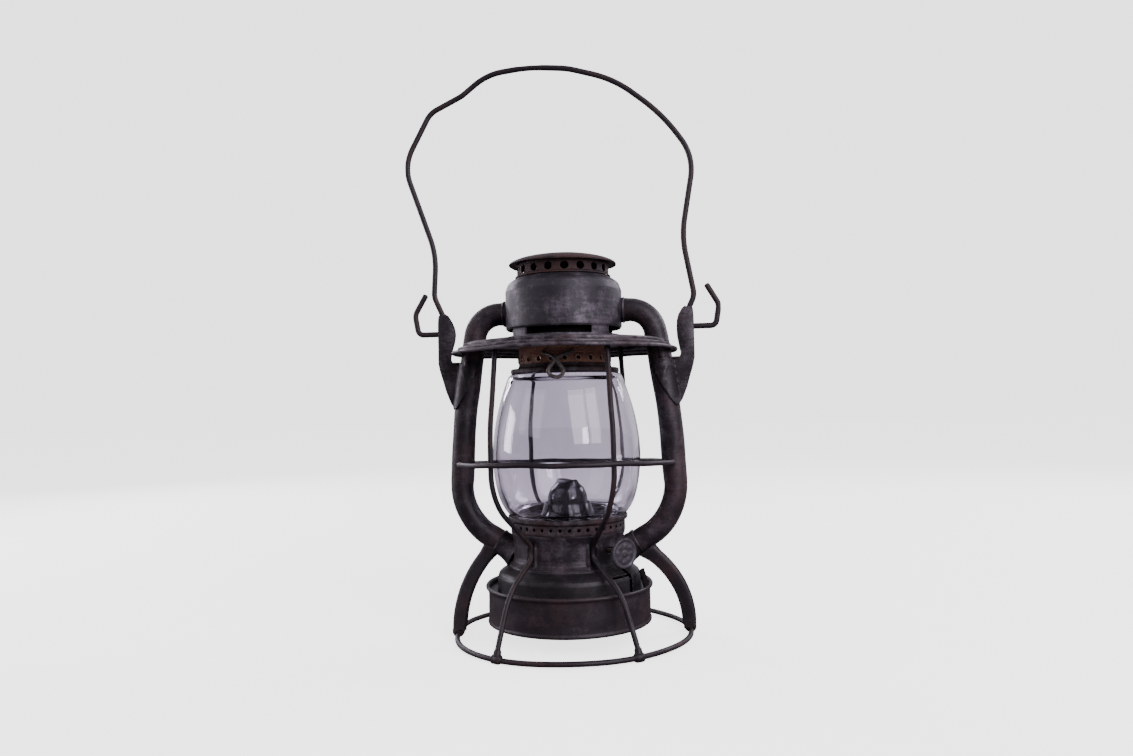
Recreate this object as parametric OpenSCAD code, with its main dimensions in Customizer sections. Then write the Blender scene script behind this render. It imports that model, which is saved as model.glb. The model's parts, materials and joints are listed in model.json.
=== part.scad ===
/* [Wire and sheet] */
// Thickness of the wire of the base ring, the guard and the bail
wire_d = 3.2; // [2.6:0.1:3.8]
// Thickness of the formed sheet metal
sheet_t = 0.9; // [0.7:0.05:1.2]
// Gap left between pieces that are soldered together
seam_gap = 0.1; // [0.05:0.05:0.2]
// Gap between a loose piece and the piece it rests on
seat_gap = 0.3; // [0.2:0.05:0.4]
// Radial play of a shaft or a sleeve in its bore
run_fit = 0.08; // [0.04:0.01:0.1]

/* [Base] */
// Radius of the base ring, to the middle of its wire
base_ring_r = 78; // [74:0.5:84]
// Arc of the base ring that each foot clip wraps, in degrees
clip_angle = 5; // [3:0.5:8]
// Angle of the four wire feet from front and back, in degrees
foot_angle = 35; // [31:1:38]
// Turn of the base ring and its feet against the cage, in degrees
base_twist = 8; // [0:0.5:9]
// Radius of the bow of the two side legs
leg_bow_r = 92; // [86:1:100]
// Width of the side legs
leg_w = 8.4; // [6:0.2:11]
// Depth of the side legs' channel
leg_depth = 7; // [5:0.2:9]
// Depth of the flats worn under the feet
foot_flat = 0.2; // [0.1:0.05:0.3]
// Height of the fount's bottom above the ground
fount_lift = 10; // [7:0.5:14]

/* [Fount] */
// Outer radius of the fount wall
fount_r = 54.5; // [52:0.5:57]
// Height of the fount, from its bottom to the middle of the rolled rim
fount_h = 24.4; // [20:0.2:30]
// Thickness of the fount's rolled rim
fount_rim_d = 3.2; // [2.4:0.1:4]
// Depth of the fount's top below the middle of the rolled rim
fount_top_drop = 2.4; // [1.8:0.1:4]
// Radius of the opening in the fount's top
fount_mouth_r = 15; // [12:0.5:17]

/* [Air chamber] */
// Outer radius of the chamber's skirt at its top
skirt_r = 50; // [48:0.5:51]
// Height of the skirt wall
skirt_h = 11.2; // [9:0.2:14]
// Outer radius of the chamber's waist
waist_r = 36.8; // [35:0.2:38]
// Height of the waist above the skirt's bottom
waist_top = 33.7; // [30:0.2:38]
// Outer radius of the band with the small holes
band_r = 38.4; // [37:0.2:40]
// Height of the band with the small holes
band_h = 7; // [5:0.2:10]
// Number of small holes in the band
band_holes = 40; // [24:2:48]
// Diameter of the small holes in the band
band_hole_d = 2.2; // [1.4:0.1:3]
// Outer radius of the rim that holds the globe
gallery_r = 40.2; // [39:0.2:42]
// Height of the rim that holds the globe
gallery_h = 3.6; // [2.4:0.2:6]
// Width of the slot for the wick shaft
shaft_slot_w = 4.4; // [3.8:0.2:6]
// Turn that unlocks the fount, in degrees
twist_angle = 15; // [12:1:18]

/* [Side tubes] */
// Outer diameter of the side tubes
tube_d = 16; // [14:0.5:17.5]
// Height of the tubes' upper ends above the ground
tube_top_z = 217.4; // [214:0.2:220]
// Radius of the tubes' upper bend
tube_bend_top = 17.8; // [14:0.2:20]
// Radius of the tubes' lower bend
tube_bend_low = 40; // [32:1:46]

/* [Drum and chimney] */
// Outer radius of the air drum
drum_r = 39.4; // [38:0.2:42]
// Height of the drum's straight wall
drum_wall_h = 25; // [22:0.5:28]
// Height of the drum's slotted foot
drum_foot_h = 6; // [5:0.5:8]
// Outer radius of the drum's neck
neck_r = 37.4; // [35:0.2:38.2]
// Height of the drum's rounded shoulder
shoulder_h = 9.5; // [7:0.5:12]
// Height of the four air slots
slot_h = 4.6; // [3:0.2:5.4]
// Arc of each air slot, in degrees
slot_angle = 68; // [40:2:74]
// Outer radius of the perforated collar under the cap
collar_r = 31; // [29:0.2:33]
// Height of the collar
collar_h = 9.4; // [8:0.2:12]
// Number of holes in the collar
collar_holes = 18; // [12:1:20]
// Diameter of the holes in the collar
collar_hole_d = 5; // [3:0.2:6]
// Radius of the cap
cap_r = 36.4; // [34:0.2:39]
// Height of the cap's dome
cap_h = 6.6; // [5:0.2:12]
// Outer radius of the inner chimney
chimney_r = 30; // [28:0.2:30]

/* [Guard plate] */
// Height of the guard plate's top above the ground
plate_z = 197; // [195:0.5:200]
// Radius of the plate's raised middle
plate_step_r = 67.5; // [66:0.5:69]
// Outer radius of the plate
plate_r = 76.4; // [74:0.4:80]
// Height of the plate, from its lip to its top
plate_h = 7.6; // [6.4:0.2:9]

/* [Guard] */
// Angle of the four guard wires from front and back, in degrees
wire_angle = 32; // [28:1:38]
// Largest radius of the guard wires
cage_r = 69.2; // [67:0.2:71]
// Height of the guard ring above the ground
guard_ring_z = 115; // [108:1:122]
// Sideways lean of the front left wire above the waist, in degrees
wire_lean = 6; // [0:0.5:8]

/* [Globe] */
// Height of the globe
globe_h = 96.4; // [95:0.2:97.6]
// Largest radius of the globe
globe_r = 49.8; // [46:0.2:54]
// Outer radius of the globe's foot
globe_foot_r = 38.6; // [37.6:0.2:38.8]
// Outer radius of the globe's upper end
globe_top_r = 37.2; // [34.5:0.2:39]
// Thickness of the glass
glass_t = 2.6; // [1.8:0.1:3.4]
// Outer radius of the globe holder's flange
holder_flange_r = 36.7; // [35:0.2:39]
// Height of the globe holder's sleeve
holder_h = 26; // [22:0.5:30]
// Number of holes in the globe holder
holder_holes = 22; // [14:1:26]
// Diameter of the holes in the globe holder
holder_hole_d = 3.3; // [2:0.1:4]
// Wire thickness of the lifting loop
loop_wire_d = 1.4; // [1:0.1:2]
// Radius of the lifting loop, to the middle of its wire
loop_r = 4.8; // [3.6:0.2:6.4]

/* [Burner] */
// Outer radius of the burner's dome
dome_r = 14; // [12:0.5:15]
// Height of the burner dome's top above the globe's seat
dome_rise = 25.4; // [20:0.2:30]
// Width of the wick
wick_w = 15.9; // [12:0.1:17]
// Thickness of the wick
wick_t = 2; // [1.4:0.1:2.6]
// Diameter of the wick shaft
shaft_d = 3; // [2.4:0.1:3.4]
// Height of the wick shaft above the fount's top
shaft_rise = 28; // [26:0.5:31]
// Direction of the wick shaft from the front, in degrees
shaft_angle = 44; // [40:1:50]
// Radius of the wick wheels
wheel_r = 3.4; // [2.8:0.1:4]
// Number of teeth of a wick wheel
wheel_teeth = 12; // [8:1:16]
// Diameter of the wick knob
knob_d = 20; // [16:0.5:21]
// Thickness of the wick knob
knob_t = 2.2; // [1.6:0.1:3]

/* [Bail and ears] */
// Height of the bail's pivot above the ground
pivot_z = 205; // [203:0.5:207]
// Distance of the ears' outer faces from the middle
ear_x = 87.6; // [86:0.2:90]
// Height of the bail's bow above its pivot
bail_h = 182; // [170:1:195]
// Thickness of the ears' sheet
ear_t = 1; // [0.8:0.05:1.4]

/* [Hidden] */
$fn = 64;
// Cuts reach this far past the face they start from
over = 1;
clip_r = wire_d / 2 + seam_gap + sheet_t;
ring_z = clip_r - foot_flat;
fount_rim_z = fount_lift + fount_h;
fount_top_z = fount_rim_z - fount_top_drop;
skirt_z = fount_top_z + seat_gap;
shoulder_z = skirt_z + skirt_h;
waist_z = skirt_z + waist_top;
band_z = waist_z + 4.5;
gallery_z = band_z + band_h;
gallery_top = gallery_z + gallery_h;
seat_z = gallery_z + 1;
globe_z = seat_z + seat_gap;
globe_top = globe_z + globe_h;
tube_in_d = tube_d - 2 * sheet_t;
drum_z = plate_z + seam_gap;
drum_foot_z = drum_z + 2.9;
drum_wall_z = drum_foot_z + drum_foot_h;
drum_shoulder_z = drum_wall_z + drum_wall_h;
drum_top = drum_shoulder_z + shoulder_h;
collar_z = drum_top + seam_gap;
cap_z = collar_z + collar_h + seam_gap;
chimney_z = globe_top + seat_gap + 12;
sleeve_in_r = chimney_r + run_fit;
sleeve_r = sleeve_in_r + sheet_t;
holder_z = globe_top + seat_gap;
holder_flange_h = 3.6;
cage_ring_r = cage_r + wire_d + seam_gap;
shaft_z = fount_top_z + shaft_rise;
wheel_gap = 0.25;
shaft_off = wick_t / 2 + wheel_gap + wheel_r;
shaft_lead = asin(shaft_off / waist_r);
wick_room = 0.25;
wick_tube_wall = 0.7;
knob_in = sqrt(pow(skirt_r + 1.9, 2) - pow(shaft_off, 2));
collar_rise = 7;
burner_z = fount_top_z + collar_rise + 2 * seam_gap;
burner_r = 17;
deck_z = seat_z - 6;
dome_top = seat_z + dome_rise;
hook_x = ear_x + 15.6;
pin_x = ear_x - ear_t - wire_d / 2 - 2.6;
lobe_y = -wire_d / 2 - seat_gap;
groove_r = waist_r - 0.2;
slope = 32;

// Path of a tube's middle line from the drum to the chamber, as distance and height
tube_corner = 59.6;
tube_path = [[drum_r - 2.4, tube_top_z], [tube_corner, tube_top_z], [tube_corner + 10.6, tube_top_z - 71.4],
    [74, 79], [74, 79] - 41.4 * [cos(slope), sin(slope)]];
tube_bends = [tube_bend_top, 280, tube_bend_low];
// Path of a guard wire from the plate to the waist, as distance from the waist's groove and height
leg_start_z = shoulder_z + 13.3;
cage_out = cage_r - groove_r;
cage_path = [[cage_out - 5.4, plate_z - sheet_t - seam_gap], [cage_out + 0.5, plate_z - 62],
    [cage_out + 0.2, leg_start_z + 38.4], [0, leg_start_z + 6.6], [0, leg_start_z + 2.9]];
cage_bends = [220, 40, 8];
// Path of its leg from the waist to a foot at distance reach
function leg_path(reach) = [[0, leg_start_z + 2.9], [0, leg_start_z],
    [reach - base_ring_r + skirt_r + 13.5, ring_z + 35.3], [reach, ring_z + clip_r + seat_gap + 0.1]];
leg_bends = [5, 40];
// Directions of the four wires and of their feet
wire_at = [-wire_angle, wire_angle, 180 - wire_angle, 180 + wire_angle];
foot_at = [base_twist - foot_angle, base_twist + foot_angle, 180 + base_twist - foot_angle,
    180 + base_twist + foot_angle];
// Left and right halves of the bail's bow, from its pin to its top, as distance and height
bow_left = [[pin_x, 0], [pin_x, 8], [90.5, 26.1], [88.6, 55.8], [110.9, bail_h - 62.9], [91.2, bail_h - 26.7],
    [68.4, bail_h - 16.2], [50, bail_h - 2.6], [20.5, bail_h + 0.4]];
left_bends = [wire_d + 0.2, 8, 14, 60, 30, 16, 22, 40, 100];
bow_right = [[pin_x, 0], [pin_x, 8], [88.4, 20.6], [81.1, 60.6], [90.5, 114.1], [70, bail_h - 37.9],
    [37.9, bail_h - 11.9], [6.1, bail_h - 2.2]];
right_bends = [wire_d + 0.2, 8, 12, 70, 36, 120, 80, 60];
hook = [[hook_x - 1.2, 0], [hook_x + 1.2, 14], [hook_x - 7, 28]];
hook_bends = [4, 8];

// Unit vector along v
function unit(v) = v / norm(v);
// Turn from direction u to direction v, in degrees, left positive
function turn(u, v) = atan2(u[0] * v[1] - u[1] * v[0], u[0] * v[0] + u[1] * v[1]);
// Length that the bend at corner i of path p takes from its straight runs
function trim(p, bends, i) = i == 0 || i == len(p) - 1 ? 0
    : bends[i - 1] * tan(abs(turn(p[i] - p[i - 1], p[i + 1] - p[i])) / 2);
// Mirror image of a path about the middle
function flip(p) = [for (q = p) [-q[0], q[1]]];
// Path p with all its heights raised
function raise(p, dz) = [for (q = p) [q[0], q[1] + dz]];
// Path p from its end to its start
function backward(p) = [for (i = [len(p) - 1:-1:0]) p[i]];

// Stations along a flat path of corners with rounded bends: each is [distance, height, heading]
function stations(p, bends, step) = concat(
    [[p[0][0], p[0][1], heading(p, 0)]],
    [for (i = [1:len(p) - 2]) let (u = unit(p[i] - p[i - 1]), bend = turn(u, p[i + 1] - p[i]),
        side = sign(bend), start = p[i] - u * trim(p, bends, i),
        centre = start + side * bends[i - 1] * [-u[1], u[0]], from = heading(p, i - 1),
        n = max(1, ceil(abs(bend) / step)))
        for (k = [0:n]) let (a = from + bend * k / n)
            [centre[0] + side * bends[i - 1] * sin(a), centre[1] - side * bends[i - 1] * cos(a), a]],
    [[p[len(p) - 1][0], p[len(p) - 1][1], heading(p, len(p) - 2)]]);
function heading(p, i) = atan2(p[i + 1][1] - p[i][1], p[i + 1][0] - p[i][0]);
// Ring of n points of radius r round station q, its first point turned by first
function ring_at(q, r, n, first = 0) = [for (k = [0:n - 1]) let (a = first + 360 * k / n)
    [q[0] - r * cos(a) * sin(q[2]), r * sin(a), q[1] + r * cos(a) * cos(q[2])]];
// Points turned by angle a about the vertical and set down at point o of the ground plan
function set_down(points, o, a) = [for (q = points)
    [o[0] + q[0] * cos(a) - q[1] * sin(a), o[1] + q[0] * sin(a) + q[1] * cos(a), q[2]]];

// Closed skin over rings of n points each
module skin(points, n) {
    m = len(points) / n;
    polyhedron(points, concat([[for (k = [0:n - 1]) k], [for (k = [n - 1:-1:0]) (m - 1) * n + k]],
        [for (i = [0:m - 2]) for (k = [0:n - 1]) [i * n + k, (i + 1) * n + k, (i + 1) * n + (k + 1) % n,
            i * n + (k + 1) % n]]));
}

// Round rod swept along a flat path, with a bend radius at each inner corner
module bent_rod(p, bends, d, n = 12, step = 12)
    skin([for (s = stations(p, bends, step)) each ring_at(s, d / 2, n)], n);

// The same with a round bore of diameter b all through
module bent_tube(p, bends, d, b, n = 28, step = 10) {
    q = stations(p, bends, step);
    m = len(q);
    last = (m - 1) * n;
    polyhedron(concat([for (s = q) each ring_at(s, d / 2, n)], [for (s = q) each ring_at(s, b / 2, n)]), concat(
        [for (i = [0:m - 2]) for (k = [0:n - 1]) [i * n + k, (i + 1) * n + k, (i + 1) * n + (k + 1) % n,
            i * n + (k + 1) % n]],
        [for (i = [0:m - 2]) for (k = [0:n - 1]) let (o = m * n) [o + i * n + k, o + i * n + (k + 1) % n,
            o + (i + 1) * n + (k + 1) % n, o + (i + 1) * n + k]],
        [for (k = [0:n - 1]) [k, (k + 1) % n, m * n + (k + 1) % n, m * n + k]],
        [for (k = [0:n - 1]) [last + k, m * n + last + k, m * n + last + (k + 1) % n, last + (k + 1) % n]]));
}

// Ring of holes of diameter d through a wall of radius r
module hole_ring(n, r, z, d, first = 0) {
    for (i = [0:n - 1]) rotate([0, 0, first + i * 360 / n]) translate([0, -r - 3, z])
        rotate([-90, 0, 0]) cylinder(d = d, h = 6, $fn = 32);
}

// Straight rod of diameter d along run i of the tube's path, h long from h0 on
module tube_run(i, d, h0 = 0, h = 60) {
    u = unit(tube_path[i + 1] - tube_path[i]);
    translate([tube_path[i][0] + h0 * u[0], 0, tube_path[i][1] + h0 * u[1]])
        rotate([0, 90 - atan2(u[1], u[0]), 0]) cylinder(d = d, h = h);
}

// Lower bend of the tube as a solid of diameter d
module tube_low_bend(d) {
    q = tube_path[3] - trim(tube_path, tube_bends, 3) * unit(tube_path[3] - tube_path[2]);
    a = heading(tube_path, 2);
    translate([q[0] + tube_bend_low * sin(a), 0, q[1] - tube_bend_low * cos(a)]) rotate([90, 0, 0])
        rotate([0, 0, -95]) rotate_extrude(angle = 100) translate([tube_bend_low, 0]) circle(d = d);
}

// Outer outline of the chamber, grown by g
function chamber_outline(g) = [[skirt_r + 0.6 + g, skirt_z - g], [skirt_r + g, shoulder_z],
    [skirt_r - 1 + g, shoulder_z + 1.6 + g], [skirt_r - 4, shoulder_z + 3.4 + g],
    [waist_r + 3.2 + g, shoulder_z + 5.2 + g], [waist_r + 0.8 + g, shoulder_z + 8.2 + g],
    [waist_r + g, shoulder_z + 11.4], [waist_r + g, waist_z], [band_r + g, band_z],
    [band_r + g, gallery_z], [gallery_r + g, gallery_z + 1], [gallery_r + g, gallery_top]];

// Way of the wick shaft: the fount turns until the shaft stands over the upright slot, and then drops
module shaft_way() {
    for (a = [0, twist_angle]) rotate([0, 0, shaft_angle + a]) translate([shaft_off, -skirt_r - 5, shaft_z])
        rotate([-90, 0, 0]) cylinder(d = shaft_slot_w, h = skirt_r - 15);
    rotate([0, 0, shaft_angle - 90 + shaft_lead]) rotate_extrude(angle = twist_angle)
        translate([waist_r - 5, shaft_z - shaft_slot_w / 2]) square([10, shaft_slot_w]);
    rotate([0, 0, shaft_angle + twist_angle]) translate([shaft_off - shaft_slot_w / 2, -skirt_r - 5, skirt_z - over])
        cube([shaft_slot_w, skirt_r - 15, shaft_z - skirt_z + over]);
}

module air_chamber() color("DimGray") difference() {
    union() {
        rotate_extrude() difference() {
            polygon(concat(chamber_outline(0), [[0, gallery_top], [0, skirt_z]]));
            polygon([[0, skirt_z - over], [skirt_r + 0.6 - sheet_t, skirt_z - over],
                [skirt_r - sheet_t, shoulder_z - 0.2], [skirt_r - 4.6, shoulder_z + 2.3],
                [waist_r + 2.2, shoulder_z + 4.1], [waist_r - sheet_t + 0.4, shoulder_z + 7.6],
                [waist_r - sheet_t, shoulder_z + 11.4], [waist_r - sheet_t, waist_z],
                [band_r - sheet_t, band_z], [band_r - sheet_t, gallery_z],
                [gallery_r - sheet_t, gallery_z + 1], [gallery_r - sheet_t, gallery_top + over],
                [0, gallery_top + over]]);
        }
        // ferrules that take the tubes' lower ends
        for (s = [1, -1]) scale([s, 1, 1]) intersection() {
            translate([tube_path[4][0], 0, tube_path[4][1]]) rotate([0, slope - 90, 0]) rotate([0, 180, 0])
                translate([0, 0, -10]) cylinder(r1 = tube_d / 2 + 0.8, r2 = tube_d / 2 + 3, h = 14);
            difference() {
                translate([30, -15, 40]) cube([20, 30, 34]);
                cylinder(r = waist_r - 0.5, h = waist_z);
            }
        }
        // formed channels that carry the guard wires
        for (a = wire_at) rotate([0, 0, a])
            intersection() {
                translate([0, -groove_r, leg_start_z - 6]) cylinder(r = clip_r, h = 18.6);
                cylinder(r = waist_r - 0.3, h = band_z);
            }
    }
    for (a = wire_at) rotate([0, 0, a])
        translate([0, -groove_r, leg_start_z - 5.2]) cylinder(d = wire_d + 2 * seam_gap, h = 17);
    for (s = [1, -1]) scale([s, 1, 1]) tube_run(3, tube_d + 2 * seam_gap, 20, 30);
    hole_ring(band_holes, band_r, gallery_z - 3, band_hole_d);
    shaft_way();
    // bayonet slit across the shoulder
    rotate([0, 0, shaft_angle - 93]) rotate_extrude(angle = twist_angle + 8.3)
        translate([skirt_r - 6, shoulder_z + 0.6]) square([8, 1.1]);
}

module globe_seat() color("Gray") difference() {
    rotate_extrude() polygon([[dome_r + 3, seat_z - 1], [dome_r + 3, seat_z + 0.6],
        [dome_r + 4, seat_z + 0.6], [dome_r + 4.4, seat_z], [band_r - sheet_t - seam_gap, seat_z],
        [band_r - sheet_t - seam_gap, seat_z - 3], [band_r - 2 * sheet_t - seam_gap, seat_z - 3],
        [band_r - 2 * sheet_t - seam_gap, seat_z - 1]]);
    for (r = [dome_r + 8, dome_r + 13]) for (i = [0:23]) rotate([0, 0, i * 15])
        translate([0, -r, seat_z - 2]) cylinder(d = 2.6, h = 4, $fn = 32);
}

module side_tube() color("SlateGray") bent_tube(tube_path, tube_bends, tube_d, tube_in_d);

module air_drum() color("SlateGray") difference() {
    union() {
        // ferrules that take the tubes' upper ends
        for (s = [1, -1]) translate([s * (drum_r - 3), 0, tube_top_z]) rotate([0, s * 90, 0])
            cylinder(d = tube_d + 2 * sheet_t, h = 4.4);
        drum_shell();
    }
    cylinder(r = chimney_r + seam_gap, h = drum_top + over);
    for (a = [2:90:272]) rotate([0, 0, a - slot_angle / 2]) rotate_extrude(angle = slot_angle)
        translate([neck_r - 4, drum_foot_z + 0.6]) square([9, slot_h]);
    for (s = [1, -1]) translate([s * (drum_r - 9), 0, tube_top_z]) rotate([0, s * 90, 0])
        cylinder(d = tube_d + 2 * seam_gap, h = 14);
}

module drum_shell() {
    rotate_extrude() difference() {
        polygon([[0, drum_z], [neck_r + 2.6, drum_z], [neck_r + 2.6, drum_z + 0.9], [neck_r, drum_z + 0.9],
            [neck_r, drum_foot_z], [drum_r, drum_wall_z], [drum_r, drum_shoulder_z],
            for (a = [15:15:75]) [drum_r - 8 * (1 - cos(a)), drum_shoulder_z + (shoulder_h - 1) * sin(a)],
            [drum_r - 8, drum_top - 1], [collar_r + 0.2, drum_top], [0, drum_top]]);
        polygon([[0, drum_z - over], [neck_r - sheet_t, drum_z - over], [neck_r - sheet_t, drum_foot_z + 0.4],
            [drum_r - sheet_t, drum_wall_z + 0.4], [drum_r - sheet_t, drum_shoulder_z - 0.2],
            for (a = [15:15:75]) [drum_r - sheet_t - 8 * (1 - cos(a)),
                drum_shoulder_z - 0.2 + (shoulder_h - 2) * sin(a)],
            [drum_r - sheet_t - 8, drum_top - 2.1], [0, drum_top - 2.1]]);
    }
}

module vent_collar() color("Sienna") difference() {
    rotate_extrude() polygon([[collar_r - sheet_t, collar_z], [collar_r + 1.4, collar_z],
        [collar_r + 1.4, collar_z + 0.8], [collar_r, collar_z + 1.2], [collar_r, collar_z + collar_h],
        [collar_r - sheet_t, collar_z + collar_h]]);
    hole_ring(collar_holes, collar_r, collar_z + 4.4, collar_hole_d, 180 / collar_holes);
}

module chimney_cap() color("Sienna") rotate_extrude() difference() {
    polygon([[0, cap_z], [cap_r - 0.8, cap_z - 0.9], [cap_r, cap_z - 0.6], [cap_r + 0.2, cap_z + 0.4],
        [cap_r - 0.6, cap_z + 1.2], for (a = [20:10:80]) [(cap_r - 0.8) * cos(a),
            cap_z + 1.2 + (cap_h - 1.2) * sin(a)], [0, cap_z + cap_h]]);
    polygon([[0, cap_z - over], [cap_r - 1.4, cap_z - over], [cap_r - 1.4, cap_z - 0.2], [cap_r - 4, cap_z],
        [collar_r - 1.5, cap_z], for (a = [10:10:80]) [(collar_r - 1.6) * cos(a), cap_z + (cap_h - sheet_t) * sin(a)],
        [0, cap_z + cap_h - sheet_t]]);
}

module inner_chimney() color("DarkSlateGray") rotate_extrude() translate([chimney_r - sheet_t, chimney_z])
    square([sheet_t, collar_z + 0.8 - chimney_z]);

module guard_plate() color("DimGray") difference() {
    union() {
        rotate_extrude() {
            polygon([[neck_r - 2.4, plate_z - sheet_t], [neck_r - 2.4, plate_z], [plate_step_r - 1, plate_z],
                [plate_step_r, plate_z - 1], [plate_step_r + 0.9, plate_z - 3.1],
                [plate_r - 3, plate_z - 3.7], [plate_r - 0.6, plate_z - 4.6], [plate_r, plate_z - plate_h + 1],
                [plate_r - 1.2, plate_z - plate_h], [plate_r - 2.2, plate_z - plate_h + 1],
                [plate_r - 1.6, plate_z - 5], [plate_r - 3.6, plate_z - 4.7],
                [plate_step_r + 0.1, plate_z - 4.1], [plate_step_r - 1, plate_z - 1.6],
                [plate_step_r - 1.8, plate_z - sheet_t]]);
        }
        // tabs that reach down over the front of each tube
        for (s = [1, -1]) translate([s * 64.6 - 1.4, -tube_d / 2 - 1.4, plate_z - 11.6])
            cube([2.8, 1, 11.2]);
    }
    for (s = [1, -1]) scale([s, 1, 1]) tube_run(1, tube_d + 2 * seat_gap);
}

// Front outline of an ear's lobe and gusset, as distance and height
ear_in = ear_x - 11.4;
lobe_outline = [[ear_x, pivot_z - 24.5], [ear_x, pivot_z + 13], [ear_x - 3.2, pivot_z + 13.6],
    [ear_x - 6.4, pivot_z + 11.6], [ear_in + 1.6, pivot_z + 8], [ear_in + 0.3, pivot_z + 2.4],
    [ear_in, pivot_z - 4.6], [ear_in + 1.8, pivot_z - 12], [ear_in + 5.2, pivot_z - 18.6],
    [ear_in + 5, pivot_z - 21], [66, pivot_z - 21], [66, pivot_z - 50], [74.6, pivot_z - 51],
    [ear_x - 6.6, pivot_z - 40], [ear_x - 1.4, pivot_z - 28.5]];
strap_outline = [[50, pivot_z - 21.4], [72, pivot_z - 21.4], [80, pivot_z - 30], [80, pivot_z - 52],
    [75.4, pivot_z - 48], [68.6, pivot_z - 39.8], [62.2, pivot_z - 33], [50, pivot_z - 26]];

module ear() color("DimGray") difference() {
    union() {
        translate([0, lobe_y, 0]) rotate([90, 0, 0]) linear_extrude(ear_t) polygon(lobe_outline);
        // sheet that wraps the front of the tube
        intersection() {
            tube_run(1, tube_d + 2 * seam_gap + 2 * ear_t, 20, 50);
            translate([0, lobe_y, 0]) rotate([90, 0, 0]) linear_extrude(12) polygon(strap_outline);
        }
        // side of the ear with the pivot hole
        difference() {
            translate([ear_x - ear_t, lobe_y - ear_t, pivot_z - 14]) cube([ear_t, 8.6, 26]);
            translate([ear_x - 3, lobe_y + 7.6, pivot_z + 12]) rotate([0, 90, 0])
                cylinder(r = 5, h = 6, $fn = 4);
            translate([ear_x - 3, lobe_y + 7.6, pivot_z - 14]) rotate([0, 90, 0])
                cylinder(r = 5, h = 6, $fn = 4);
        }
    }
    tube_run(1, tube_d + 2 * seam_gap, 10, 70);
    translate([ear_x - 4, 0, pivot_z]) rotate([0, 90, 0]) cylinder(d = wire_d + 2 * run_fit, h = 8);
}

// Guard wire i with its leg: two flat paths in upright planes that meet in the waist's groove
module guard_wire(i, lean = 0) color("DarkSlateGray") {
    groove = groove_r * [sin(wire_at[i]), -cos(wire_at[i])];
    out = base_ring_r * [sin(foot_at[i]), -cos(foot_at[i])] - groove;
    up = wire_at[i] + lean - 90;
    down = atan2(out[1], out[0]);
    low = stations(leg_path(norm(out)), leg_bends, 12);
    skin(concat(
        set_down([for (q = stations(cage_path, cage_bends, 12)) each ring_at(q, wire_d / 2, 12)], groove, up),
        set_down([for (j = [1:len(low) - 1]) each ring_at(low[j], wire_d / 2, 12, up - down)], groove, down)), 12);
}

// Clips that wrap the base ring at the feet of the guard wires
module ring_clips() color("DarkSlateGray")
    for (a = foot_at) difference() {
        translate([0, 0, ring_z]) rotate([0, 0, a - 90 - clip_angle / 2]) rotate_extrude(angle = clip_angle)
            translate([base_ring_r, 0]) circle(r = clip_r);
        translate([0, 0, ring_z]) rotate_extrude() translate([base_ring_r, 0]) circle(d = wire_d + 2 * seam_gap);
        ground();
    }

// Ground that the feet are cut flat on
module ground() translate([0, 0, -5]) cylinder(r = base_ring_r + 10, h = 5);

// Half ring round the guard wires, from tube to tube
module guard_ring(a) color("DarkSlateGray") difference() {
    translate([0, 0, guard_ring_z]) rotate([0, 0, a + 4]) rotate_extrude(angle = 172)
        translate([cage_ring_r, 0]) circle(d = wire_d, $fn = 24);
    for (s = [1, -1]) scale([s, 1, 1]) tube_run(2, tube_d + 2 * seam_gap, 10, 40);
}

module base_ring() color("DarkSlateGray") translate([0, 0, ring_z]) rotate_extrude()
    translate([base_ring_r, 0]) circle(d = wire_d, $fn = 24);

// Bowed channel leg under a tube: it leans about its head and is curled round the base ring
leg_head = tube_path[3] - 29.2 * [cos(slope), sin(slope)] + (tube_d / 2 - 0.4) * [sin(slope), -cos(slope)];
leg_drop = leg_head[1] - ring_z - 1.6;
leg_aside = (base_ring_r - 0.6) * sin(base_twist);
leg_foot = [(base_ring_r - 0.6) * cos(base_twist), leg_head[1] - norm([leg_drop, leg_aside])];
leg_chord = leg_head - leg_foot;
leg_centre = (leg_foot + leg_head) / 2 + sqrt(pow(leg_bow_r, 2) - pow(norm(leg_chord) / 2, 2))
    * [-leg_chord[1], leg_chord[0]] / norm(leg_chord);
leg_from = atan2(leg_foot[1] - leg_centre[1], leg_foot[0] - leg_centre[0]);
leg_to = atan2(leg_head[1] - leg_centre[1], leg_head[0] - leg_centre[0]);
leg_round = 2.6;
module leg_section(g) translate([leg_bow_r - leg_depth / 2, 0]) {
    for (s = [1, -1]) translate([leg_depth - leg_round, s * (leg_w / 2 - leg_round)])
        circle(r = leg_round - g, $fn = 24);
    translate([-g, g - leg_w / 2]) square([leg_depth - leg_round + g, leg_w - 2 * g]);
    translate([leg_depth - leg_round - 0.1, leg_round - leg_w / 2]) square([leg_round + 0.1 - g, leg_w - 2 * leg_round]);
}
module side_leg(side) color("Sienna") difference() {
    union() {
        translate([0, 0, leg_head[1]]) rotate([side * atan2(leg_aside, leg_drop), 0, 0])
            translate([leg_centre[0], 0, leg_centre[1] - leg_head[1]]) rotate([90, 0, 0]) rotate([0, 0, leg_from])
            difference() {
                rotate_extrude(angle = leg_to - leg_from) leg_section(0);
                rotate([0, 0, -1]) rotate_extrude(angle = leg_to - leg_from + 2) leg_section(sheet_t);
            }
        // saddle under the tube
        intersection() {
            tube_low_bend(tube_d + 2 * seam_gap + 2 * sheet_t);
            translate([50, -leg_w / 2, 40]) cube([10, leg_w, 24]);
        }
        // curl round the base ring
        rotate([0, 0, side * base_twist]) translate([base_ring_r, -leg_w / 2, ring_z]) rotate([-90, 0, 0])
            cylinder(r = clip_r, h = leg_w);
    }
    tube_low_bend(tube_d + 2 * seam_gap);
    tube_run(3, tube_d + 2 * seam_gap, 20, 30);
    translate([0, 0, ring_z]) rotate_extrude() translate([base_ring_r, 0])
        circle(d = wire_d + 2 * seam_gap, $fn = 24);
    ground();
}

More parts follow.
